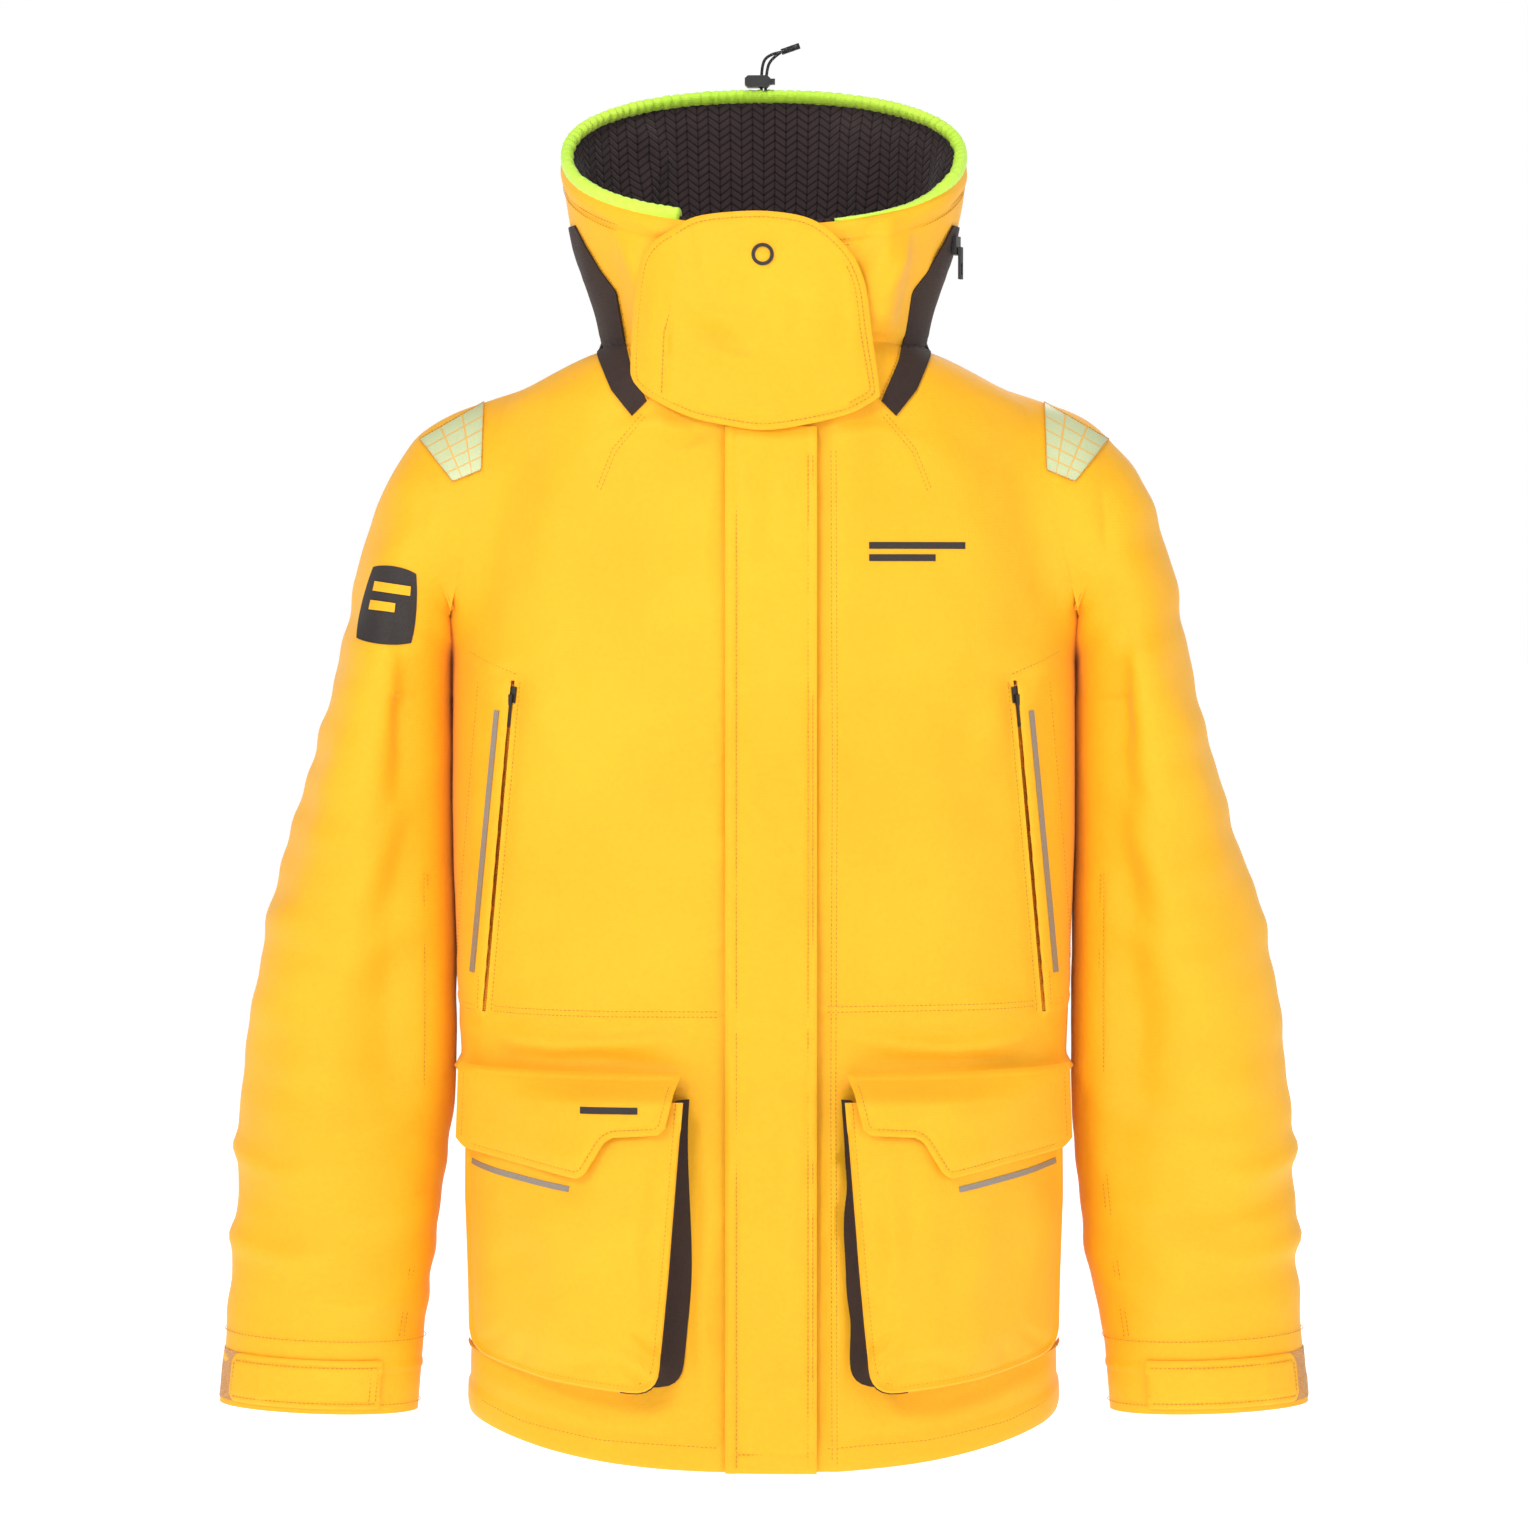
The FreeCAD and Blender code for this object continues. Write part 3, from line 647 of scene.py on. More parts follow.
panel("front_skirt_right", lambda c: (c[:, 1] < -70) & (c[:, 0] < 5) & (c[:, 2] < -485),
      FRONT, BELOW, RIGHT)
panel("front_skirt_left", lambda c: (c[:, 1] < -70) & (c[:, 0] > 5) & (c[:, 2] < -485),
      FRONT, BELOW, LEFT)
panel("back_yoke", lambda c: (c[:, 1] > -86) & (c[:, 2] > -160),
      BACK, ((0, 0, YOKE_Z), (0, 0, -1)), seam_r, seam_l)
panel("back_panel", lambda c: (c[:, 1] > -86) & (c[:, 2] < -140),
      BACK, ((0, 0, YOKE_Z), (0, 0, 1)), seam_r, seam_l)


# ---- Sleeves ----
def sleeve_relief(t, a, p, seed):
    """Folds above the cuff, at the elbow and under the arm."""
    around, z = np.degrees(a), p[..., 2]
    folds = [
        ([(120, -610), (60, -622), (0, -606), (-60, -616)], 9, 3.2),
        ([(150, -640), (80, -652), (20, -640)], 8, -2.6),
        ([(140, -668), (70, -684), (0, -672), (-50, -684)], 9, 3.0),
        ([(170, -560), (110, -590), (60, -600)], 12, 2.6),
        ([(175, -400), (130, -440), (80, -470)], 16, 3.0),
        ([(170, -300), (120, -350), (90, -420)], 16, 3.2),
        ([(60, -250), (50, -330), (56, -420)], 18, 2.0),
        ([(-90, -420), (-20, -440), (30, -430)], 14, 2.6),
        ([(-150, -520), (-90, -560), (-30, -560)], 14, 3.0),
        ([(165, -700), (120, -722), (70, -716)], 9, 2.0),
    ]
    near = np.where(around > 180, around - 360, around)
    h = 1.5 * stroke_field(near, z, folds)
    x, y = p[..., 0], p[..., 1]
    h += ease((7.2 - t) / 0.6) * (2.4 * ripples(x * 1.3, y * 1.3, z * 0.6, 110, seed)
                                  + 1.2 * ripples(x * 0.6, y * 0.6, z * 1.7, 60, seed + 1))
    h *= seam_mask(p) * ease((t - 0.7) / 0.5)
    inner = ease((62 - np.abs(around - 180)) / 40) * ease((t - 1.2) / 0.4) * ease((6.3 - t) / 0.7)
    h = h * (1 - 0.8 * inner) + (6.4 + 1.2 * ease((t - 3.8) / 0.6)) * inner
    hollow = ease((t - 1.9) / 0.8) * ease((6.4 - t) / 1.2)
    h -= 13.0 * hollow * np.exp(-((around - 122) / 26) ** 2)
    return h * ease((8.0 - t) / 0.35) + 0.9 * ease((7.42 - t) / 0.03) * ease((t - 7.30) / 0.03)


def turn_with_arm(piece):
    """Bakes the placement of a piece on the upper sleeve into its mesh."""
    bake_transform(piece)


def make_sleeve(side, sign, seed):
    ts, cols = SLEEVE_T, len(SLEEVE_A)
    ang, t, p = arm_angle, arm_t, arm
    n = outward(p, p.mean(1, keepdims=True))
    p = p + n * sleeve_relief(t, ang, p, seed)[..., None]
    row_len = np.concatenate([[0], np.cumsum(np.linalg.norm(np.diff(p[:, 0], axis=0), axis=1))])
    uvs = np.stack([ang / TAU * 500, np.broadcast_to(row_len[:, None], ang.shape)], -1)
    flip = mirror(sign)
    split = int(np.searchsorted(ts, 3.6))
    out = []
    for part, rows in (("upper", slice(0, split + 1)), ("lower", slice(split, None))):
        grid, w = p[rows] * flip, uvs[rows]
        f = grid_faces(len(grid), cols, True)
        o = mesh_object(f"{part}_sleeve_{side}_cloth", grid.reshape(-1, 3), f, YELLOW,
                        w.reshape(-1, 2))
        face_out(o, grid.reshape(-1, 3).mean(0))
        if part == "upper":
            top = int(np.searchsorted(ts, 1.25)) * cols
            bm = bmesh.new()
            bm.from_mesh(o.data)
            bm.verts.ensure_lookup_table()
            area = [v for v in bm.verts if v.index < top]
            inside = set(area)
            edges = [e for e in bm.edges if all(v in inside for v in e.verts)]
            fs = [g for g in bm.faces if all(v in inside for v in g.verts)]
            bmesh.ops.bisect_plane(
                bm, geom=area + edges + fs, dist=1e-6, plane_co=Vector(SEAM_POINT * flip) * MM,
                plane_no=Vector(SEAM_NORMAL * flip), clear_inner=True)
            bm.to_mesh(o.data)
            bm.free()
            o.data.shade_smooth()
        thick(o, SHELL_MM, YELLOW_IN)
        out.append(o)
    upper, lower = out
    turn_with_arm(upper)
    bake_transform(lower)
    CLOTH[f"upper_sleeve_{side}"] = upper
    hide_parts(f"sleeve_cap_{side}", f"upper_sleeve_{side}")
    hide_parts(f"lower_sleeve_{side}")


make_sleeve("right", 1, 11)
make_sleeve("left", -1, 23)


# ---- Tools for pieces that lie on the skin ----
def tree_of(*objs):
    """A ray-casting tree over finished pieces, in millimetres."""
    verts, faces, base = [], [], 0
    for o in objs:
        v = [tuple(p.co / MM) for p in o.data.vertices]
        verts += v
        faces += [tuple(i + base for i in f.vertices) for f in o.data.polygons]
        base += len(v)
    return BVHTree.FromPolygons(verts, faces)


def rings_in(outline, rings, centre):
    """Points and faces of a patch filled from its outline to its centre, x and z."""
    o = np.array(outline, float)
    levels = np.linspace(1, 0, rings + 1)[:-1] ** 0.9
    pts = [centre + (o - centre) * r for r in levels] + [np.array([centre], float)]
    n = len(o)
    faces = [tuple(q) for q in grid_faces(rings, n, True)]
    last = rings * n
    faces += [((rings - 1) * n + i, (rings - 1) * n + (i + 1) % n, last) for i in range(n)]
    depth = np.concatenate([np.full(n, 1 - r) for r in levels] + [[1.0]])
    return np.concatenate(pts), faces, depth


def dense(points, step, closed=True):
    """Points every step along straight runs, keeping each corner."""
    p = [np.array(q, float) for q in points]
    out = []
    for a, b in zip(p, p[1:] + (p[:1] if closed else [])):
        k = max(1, int(round(np.linalg.norm(b - a) / step)))
        out += [a + (b - a) * i / k for i in range(k)]
    if not closed:
        out.append(p[-1])
    return np.array(out)


def rounded(points, rounds):
    """An outline whose corners are rounded by the given radii."""
    p = [np.array(q, float) for q in points]
    out = []
    for i, (q, r) in enumerate(zip(p, rounds)):
        if not r:
            out.append(q)
            continue
        a, b = p[i - 1] - q, p[(i + 1) % len(p)] - q
        a, b = a / np.linalg.norm(a), b / np.linalg.norm(b)
        for t in np.linspace(0, 1, 7):
            out.append(q + a * r * (1 - t) ** 2 + b * r * t ** 2)
    return out


def edge_distance(p, outline):
    """Distance of each point (x, z) from a closed outline."""
    o = np.array(outline, float)
    best = np.full(len(p), 1e9)
    for a, b in zip(o, np.roll(o, -1, 0)):
        d = b - a
        t = np.clip(((p - a) @ d) / max(d @ d, 1e-9), 0, 1)
        best = np.minimum(best, np.linalg.norm(p - a - t[:, None] * d, axis=1))
    return best


STITCHES = {}


def stitch(body, points, normal, pitch=3.3, long=2.2, wide=0.62, high=0.45):
    """Thread dashes along a line of points with the cloth's normals there."""
    p, nv = np.asarray(points, float), np.asarray(normal, float)
    run = np.concatenate([[0], np.cumsum(np.linalg.norm(np.diff(p, axis=0), axis=1))])
    count = int(run[-1] / pitch)
    verts, faces = STITCHES.setdefault(body, ([], []))
    for k in range(count):
        ends = [(k + 0.2) * pitch, (k + 0.2) * pitch + long]
        a, b = (np.array([np.interp(s, run, p[:, j]) for j in range(3)]) for s in ends)
        up = np.array([np.interp(ends[0], run, nv[:, j]) for j in range(3)])
        up = up / max(np.linalg.norm(up), 1e-9)
        side = np.cross(b - a, up)
        side = side / max(np.linalg.norm(side), 1e-9) * wide / 2
        base = len(verts)
        a0, b0 = a - up * 0.15, b - up * 0.15
        mid = (a + b) / 2 + up * high
        verts += [a0 - side, a0 + side, b0 + side, b0 - side, mid - side * 0.5, mid + side * 0.5]
        faces += [tuple(base + i for i in f) for f in
                  ((0, 4, 5, 1), (4, 3, 2, 5), (1, 5, 2), (0, 3, 4))]


def on_tree(tree, xz, lift=0.0, far=-600.0):
    """Points of a tree seen from the front at (x, z), lifted along its normals."""
    points, norms = [], []
    for x, z in xz:
        hit, face, _, _ = tree.ray_cast(Vector((x, far, z)), Vector((0, 1, 0)))
        if hit is None:
            hit, face, _, _ = tree.find_nearest(Vector((x, -180, z)))
        if face.y > 0:
            face = -face
        points.append(np.array(hit + face * lift))
        norms.append(np.array(face))
    return np.array(points), np.array(norms)


def eased_normals(norms, times=6):
    n = norms.copy()
    for _ in range(times):
        n[1:-1] = n[:-2] * 0.25 + n[1:-1] * 0.5 + n[2:] * 0.25
        n /= np.linalg.norm(n, axis=1, keepdims=True)
    return n


def seam(body, tree, path, rows=(0.0,), lift=0.1, step=4.0):
    """Rows of stitches seen from the front along a path of (x, z)."""
    line = dense(path, step, False)
    way = np.gradient(line, axis=0)
    way /= np.linalg.norm(way, axis=1, keepdims=True)
    for offset in rows:
        xz = line + np.stack([-way[:, 1], way[:, 0]], -1) * offset
        p, n = on_tree(tree, xz, lift)
        stitch(body, p, eased_normals(n))


# ---- Collar ----
RIM_Y, RIM_Z, RIM_TAN = -90.0, 141.5, math.tan(math.radians(25.8))


def rim_height(angle, off=0.0):
    z = np.full(np.shape(angle), 140.0)
    for _ in range(12):
        y = round_skin(COLLAR, angle, z, off)[..., 1]
        z = RIM_Z + RIM_TAN * (y - RIM_Y)
    return z


# Collar folds: (degrees round, height) with 0 the wearer's left and -90 the front
COLLAR_FOLDS = [
    ([(-52, 92), (-56, 60), (-59, 20)], 3.2, 3.4),
    ([(-59, 84), (-63, 50), (-66, 10)], 2.6, -2.6),
    ([(-45, 86), (-49, 56), (-52, 34)], 3.0, 2.6),
    ([(-48, 100), (-60, 90), (-68, 84)], 3.2, 3.0),
    ([(-132, 96), (-124, 84), (-118, 78)], 3.4, 2.4),
    ([(-140, 70), (-136, 40), (-134, 10)], 4.0, -1.6),
    ([(-27, 60), (-24, 34), (-25, 12)], 4.0, 1.8),
    ([(70, 130), (76, 90), (72, 40)], 6.0, 2.4),
    ([(110, 140), (104, 90), (108, 30)], 6.0, 2.4),
]


def collar_surface(angle, v, off=0.0):
    """v runs from 0 at the neck seam to 1 at the rim."""
    top = rim_height(angle, off)
    low = -2.0
    z = low + (top - low) * v
    return round_skin(COLLAR, angle, z, off)


def make_collar():
    cols, rows = 360, 84
    angle = (np.arange(cols) + 0.5) / cols * TAU
    vv, an = np.meshgrid(np.linspace(0, 1, rows), angle, indexing="ij")
    p = collar_surface(an, vv, -0.3)
    n = outward(p, [0, -85, 60])
    deg = (np.degrees(an) + 180) % 360 - 180
    h = stroke_field(deg, p[..., 2], COLLAR_FOLDS)
    h += 0.8 * ripples(p[..., 0], p[..., 1], p[..., 2], 60, 31)
    tall = ease((p[..., 2] + 8) / 30) * ease((96 - p[..., 2]) / 40)
    h += tall * (17 * np.exp(-((deg + 51) / 9) ** 2) + 9 * np.exp(-((deg + 132) / 9) ** 2))
    below = rim_height(an) - p[..., 2]
    h += -1.0 * np.exp(-((below - 16) / 1.4) ** 2) + 1.4 * np.exp(-((below - 8) / 6.0) ** 2)
    h *= ease(p[..., 2] / 8) * ease(below / 3)
    p = p + n * h[..., None]
    faces = grid_faces(rows, cols, True)
    c = p.reshape(-1, 3)[faces].mean(1)
    gap = (np.abs(c[:, 0] - ZIP_X) < 6.5) & (c[:, 1] < -120)
    o = mesh_object("collar", p.reshape(-1, 3), faces[~gap], YELLOW)
    face_out(o, (0, -90))
    thick(o, SHELL_MM, YELLOW_IN)
    finish_piece(o, "torso", "shell_fabric", "collar_shell")
    line = (rim_height(angle) - 16)
    for lift in (-2.2, 2.2):
        zs = line + lift
        q = round_skin(COLLAR, angle, zs, 0.0)
        front = (q[:, 1] < -150) & (q[:, 0] > -66) & (q[:, 0] < 40)
        nn = np.stack([np.cos(angle), np.sin(angle), 0 * angle], -1)
        keep = np.nonzero(~front)[0]
        first = np.argmax(np.diff(keep)) + 1
        order = np.concatenate([keep[first:], keep[:first]])
        stitch("torso", q[order] + nn[order] * 0.35, nn[order])
    return o


collar = make_collar()


# ---- Fleece lining: ribbed with rows of short raised dashes, with loose folds ----
def fleece():
    m, nodes, links, shader = nodes_of("fleece")
    uv = nodes.new("ShaderNodeUVMap").outputs["UV"]
    split = nodes.new("ShaderNodeSeparateXYZ")
    links.new(uv, split.inputs[0])
    x, y = split.outputs[0], split.outputs[1]
    rib = 0.0088
    column = math_node(nodes, links, "DIVIDE", x, rib)
    odd = math_node(nodes, links, "FLOORED_MODULO", math_node(nodes, links, "FLOOR", column), 2.0)
    slant = math_node(nodes, links, "MULTIPLY_ADD", odd, 2.0, -1.0)
    inside = math_node(nodes, links, "SUBTRACT", math_node(nodes, links, "FRACT", column), 0.5)
    rise = math_node(nodes, links, "MULTIPLY", math_node(nodes, links, "MULTIPLY", slant, inside), 1.0)
    dash = math_node(nodes, links, "FRACT", math_node(
        nodes, links, "ADD", math_node(nodes, links, "DIVIDE", y, 0.0062), rise))
    bar = math_node(nodes, links, "ABSOLUTE", math_node(nodes, links, "SUBTRACT", dash, 0.5))
    bar = math_node(nodes, links, "SMOOTH_MIN", math_node(nodes, links, "MULTIPLY", bar, 4.0), 1.0, 0.3)
    edge = math_node(nodes, links, "ABSOLUTE", inside)
    gap = math_node(nodes, links, "GREATER_THAN", edge, 0.40)
    height = math_node(nodes, links, "SUBTRACT", bar, math_node(nodes, links, "MULTIPLY", gap, 0.8))
    coords = nodes.new("ShaderNodeTexCoord").outputs["Object"]
    fuzz = noise(nodes, links, coords, 900.0, 3.0)
    height = math_node(nodes, links, "MULTIPLY_ADD", fuzz, 0.5, height)
    bump(nodes, links, shader, height, 0.0009)
    # Colour follows the relief height: the grooves between the rib columns and the low ends of each dash
    # are painted darker, a painted shade of the embossing, laid over the lining's own uneven tone from the
    # slow noise.
    tone_and_groove_shade = math_node(nodes, links, "MULTIPLY_ADD", height, 0.5, math_node(
        nodes, links, "MULTIPLY", noise(nodes, links, coords, 14.0), 0.4))
    links.new(blend_colors(nodes, links, tone_and_groove_shade, (0.010, 0.006, 0.006), (0.046, 0.030, 0.032), 0.1, 0.9),
              shader.inputs["Base Color"])
    shader.inputs["Roughness"].default_value = 0.95
    shader.inputs["Sheen Weight"].default_value = 0.12
    shader.inputs["Sheen Roughness"].default_value = 0.5
    shader.inputs["Specular IOR Level"].default_value = 0.15
    return m


LINING_FOLDS = [
    ([(128, 186), (122, 150), (130, 110), (126, 60)], 5.0, 7.5),
    ([(116, 176), (112, 140), (114, 90)], 4.0, -3.0),
    ([(66, 190), (64, 150), (58, 100), (62, 50)], 5.0, 6.0),
    ([(96, 150), (92, 110), (96, 70)], 6.0, 4.0),
    ([(168, 150), (160, 110), (166, 70)], 6.0, 5.0),
    ([(20, 150), (26, 110), (22, 70)], 6.0, 5.0),
    ([(200, 120), (208, 90), (200, 50)], 6.0, 4.0),
    ([(-20, 120), (-28, 90), (-20, 50)], 6.0, 4.0),
]


def make_lining():
    cols, rows = 300, 60
    angle = (np.arange(cols + 1)) / cols * TAU - math.pi / 2
    vv, an = np.meshgrid(np.linspace(0, 1, rows), angle, indexing="ij")
    top = rim_height(an, -4) + 1.0
    z = -16 + (top + 16) * vv
    zc = np.maximum(z, 0)
    half_fix = np.minimum(z, 0) * 0.4
    p = round_skin(COLLAR, an, zc, -4.2 + half_fix)
    p[..., 2] = z
    inward = -outward(p, [0, -85, 60])
    deg = (np.degrees(an) + 90) % 360 - 90
    h = stroke_field(deg, z, LINING_FOLDS)
    h = np.abs(h) * 0.4 + h * 0.6 + 1.6 + 1.2 * ripples(p[..., 0], p[..., 1], z, 80, 41)
    h = np.maximum(h, 0) * ease((top - z) / 22) * ease((z + 16) / 20)
    p = p + inward * h[..., None]
    width = np.cumsum(np.concatenate([[0], np.linalg.norm(np.diff(p[rows - 1], axis=0), axis=1)]))
    uvs = np.stack([np.broadcast_to(width, an.shape), z], -1)
    faces = grid_faces(rows, cols + 1)
    c = p.reshape(-1, 3)[faces].mean(1)
    gap = (np.abs(c[:, 0] - ZIP_X) < 20) & (c[:, 1] < -120)
    o = mesh_object("fleece_lining", p.reshape(-1, 3), faces[~gap], fleece(), uvs.reshape(-1, 2))
    face_out(o, (0, -90))
    thick(o, 1.6, offset=1.0)
    finish_piece(o, "torso", "fleece", "collar_fleece_lining")


make_lining()


# ---- Neon elastic gathered round the rim ----
def make_rim():
    cols, around = 620, 18
    angle = np.linspace(math.radians(-70.5), math.radians(-114) + TAU, cols)
    s = np.concatenate([[0], np.cumsum(np.linalg.norm(np.diff(
        round_skin(COLLAR, angle, 140 + 0 * angle), axis=0), axis=1))])
    rng = np.random.default_rng(7)
    knots = np.cumsum(rng.uniform(5.5, 9.5, 260))
    k = np.clip(np.searchsorted(knots, s), 1, 259)
    phase = (s - knots[k - 1]) / (knots[k] - knots[k - 1])
    puff = np.sin(math.pi * np.clip(phase, 0, 1)) ** 0.8
    size = 0.8 + 0.5 * rng.uniform(size=261)[k]
    slim = 0.30 + 0.70 * ease((np.degrees(angle) + 46) / 34)
    base = round_skin(COLLAR, angle, rim_height(angle), 0)
    out = np.stack([np.cos(angle), np.sin(angle), 0 * angle], -1)
    tip = np.array([0.0, -math.sin(math.radians(25.8)), math.cos(math.radians(25.8))])
    rows = []
    for j in range(around):
        a = TAU * j / around
        reach_out = math.cos(a)
        rise = math.sin(a)
        inner = max(0.0, -reach_out)
        across = 3.6 + 1.0 * puff * size * inner
        tall = 5.0 + 0.9 * puff * size
        p = base + out * ((reach_out * across - 3.0) - 1.6 * puff * size * inner)[:, None]
        p = p + tip * (rise * tall * slim + 4.0 * slim)[:, None]
        fine = 0.35 * np.sin(s * TAU / 2.7 + 2.2 * math.sin(2 * a) + 3 * np.sin(s / 11))
        p = p + (out * reach_out + tip * rise) * (fine * (0.5 + 0.5 * inner))[:, None]
        rows.append(p)
    grid = np.stack(rows, 1)
    faces = [tuple(q) for q in grid_faces(cols, around, True)]
    faces += [tuple(range(around))[::-1], tuple((cols - 1) * around + i for i in range(around))]
    o = mesh_object("hood_rim", grid.reshape(-1, 3), faces, NEON)
    finish_piece(o, "torso", "neon_elastic", "hood_rim_elastic")


make_rim()


# ---- Dark stretch gussets from the sides of the collar down to the front ----
def make_gusset(side, sign):
    """Two edges from the tip on the chest up round the side of the collar."""
    front = [(86, -44), (99, -14), (104, 8), (109, 38), (121, 54), (133, 74), (141, 90)]
    rear = [(97, -55), (112, -36), (124, -8), (127, 14), (134, 40), (142, 70), (146, 90)]
    rows, cols = 44, 14
    t = np.linspace(0, 1, rows)
    f = np.array([np.interp(t, np.linspace(0, 1, 7), [q[i] for q in front]) for i in (0, 1)]).T
    r = np.array([np.interp(t, np.linspace(0, 1, 7), [q[i] for q in rear]) for i in (0, 1)]).T
    points = np.zeros((rows, cols, 3))
    skin_tree = tree_of(CLOTH[f"front_panel_{side}"], collar)
    for i in range(rows):
        for j in range(cols):
            u = j / (cols - 1)
            x, z = f[i] * (1 - u) + r[i] * u
            if z > 3:
                half = smooth(COLLAR, z)[0]
                s = min(x / half, 0.9995)
                angle = -math.acos(s ** (smooth(COLLAR, z)[2] / 2)) if s < 1 else 0.0
                p = round_skin(COLLAR, np.array(angle), np.array(z), 0.0)
                n = np.array([math.cos(angle), math.sin(angle), 0])
            else:
                hit, face, _, _ = skin_tree.ray_cast(Vector((sign * x, -500, z)), Vector((0, 1, 0)))
                if hit is None:
                    hit, face, _, _ = skin_tree.find_nearest(Vector((sign * x, -120, z)))
                p, n = np.array(hit) * mirror(sign), np.array(face) * mirror(sign)
                if n[1] > 0:
                    n = -n
            swell = 1.3 * math.sin(math.pi * u) * math.sin(math.pi * t[i])
            points[i, j] = p + n * (0.9 + swell + 0.4 * math.sin(z / 9 + 5 * u) * math.sin(math.pi * u))
    points = points * mirror(sign)
    o = mesh_object(f"collar_gusset_{side}", points.reshape(-1, 3), grid_faces(rows, cols), DARK)
    thick(o, 1.6, offset=0.0)
    finish_piece(o, "torso", "dark_stretch", "collar_gussets")
    nn = np.tile([sign * 0.5, -0.8, 0.1], (rows, 1))
    stitch("torso", points[:, 0] + nn * 0.8 - [sign * 2.0, 0, 0], nn)


for side, sign in (("right", -1), ("left", 1)):
    make_gusset(side, sign)


# ---- Front pieces ----
def curve_through(points, per=6):
    """A closed smooth outline through points."""
    p = np.array(points, float)
    out = []
    for a, b, c, d in zip(np.roll(p, 1, 0), p, np.roll(p, -1, 0), np.roll(p, -2, 0)):
        for t in np.arange(per) / per:
            out.append(0.5 * (2 * b + (c - a) * t + (2 * a - 5 * b + 4 * c - d) * t * t
                              + (3 * b - a - 3 * c + d) * t ** 3))
    return np.array(out)


def guard_y(x, z):
    y = front_y(z) - 10 + (8 + 10 * (z + 66) / 160) * (x / 95) ** 2
    return y + 15 * np.maximum(0, (-x - 48) / 50) ** 2


GUARD_FOLDS = [
    ([(-56, 10), (-34, 4), (-12, -8)], 5, -3.2),
    ([(-52, 24), (-30, 18), (-8, 12)], 6, 2.2),
    ([(-44, -6), (-24, -14), (-2, -16)], 6, 2.4),
    ([(-55, 84), (-50, 60), (-44, 34)], 1.6, -1.0),
    ([(-64, 26), (-70, 6), (-72, -42)], 1.3, -1.7),
    ([(60, 50), (66, 20), (66, -20)], 4, 1.2),
    ([(16, 36), (26, 24), (22, 8)], 7, -1.6),
    ([(-80, 40), (-84, 0), (-80, -24)], 7, 1.5),
    ([(-30, -48), (0, -54), (34, -50)], 7, 1.3),
]


def make_guard():
    outline = [(-68, 81), (-50, 90), (-21, 93.5), (6, 93.5), (32, 89), (49, 79), (62, 66),
               (69, 55), (75, 37), (79, 5), (84.5, -36), (83, -42), (76, -47), (61, -54.4),
               (30, -62), (-1, -66), (-30, -62), (-55, -56), (-80, -44), (-94, -34), (-98, -26),
               (-98, -7), (-96, 25), (-91, 58), (-82, 72)]
    edge = curve_through(outline)
    xz, faces, _ = rings_in(edge, 30, np.array([-6.0, 12.0]))
    x, z = xz.T
    d = edge_distance(xz, edge)
    h = 1.3 * stroke_field(x, z, GUARD_FOLDS) * ease(d / 8)
    h += 0.7 * ripples(x, z, 0 * x, 55, 51) * ease(d / 10) + 2.2 * ease(d / 40)
    h += 0.6 * np.exp(-((d - 3) / 2.2) ** 2) - 0.7 * np.exp(-((d - 6.2) / 1.1) ** 2)
    h += 0.9 * ease((-66 - x + (z + 40) * 0.06) / 3) * ease(d / 4)
    h -= 1.4 * (1 - ease(d / 2.5))
    y = guard_y(x, z) - h
    o = mesh_object("face_guard_cloth", np.stack([x, y, z], -1), faces, YELLOW)
    face_out(o, way=(0, -1, 0))
    thick(o, 2.2, YELLOW_IN)
    finish_piece(o, "face_guard_body", "shell_fabric", "face_guard")
    for inset, keep in ((4.6, None), (8.2, 60)):
        centre = edge.mean(0)
        toward = centre - edge
        toward /= np.linalg.norm(toward, axis=1, keepdims=True)
        line = edge + toward * inset
        line = np.concatenate([line, line[:1]])
        if keep:
            line = line[line[:, 0] > keep]
        yy = guard_y(line[:, 0], line[:, 1]) - 1.1
        p = np.stack([line[:, 0], yy, line[:, 1]], -1)
        stitch("face_guard_body", p, np.tile([0.0, -1.0, 0.0], (len(p), 1)))
    tab = dense([(-64, 26), (-70, 6), (-72, -42)], 4, False)
    p = np.stack([tab[:, 0] - 3.2, guard_y(tab[:, 0] - 3.2, tab[:, 1]) - 3.1, tab[:, 1]], -1)
    stitch("face_guard_body", p, np.tile([0.0, -1.0, 0.0], (len(p), 1)))
    ring_v, ring_f = [], []
    for k in range(32):
        a = TAU * k / 32
        for r in (5.6, 8.2):
            cx, cz = -1 + r * math.cos(a), 62 + r * math.sin(a)
            ring_v.append((cx, float(guard_y(np.array(cx), np.array(cz))) - 3.1, cz))
    ring_f = [(2 * k, 2 * k + 1, (2 * k + 3) % 64, (2 * k + 2) % 64) for k in range(32)]
    mark = mesh_object("face_guard_mark", ring_v, ring_f, MARK)
    thick(mark, 0.5, offset=0.0)
    finish_piece(mark, "face_guard_body", "pull_plastic")


make_guard()


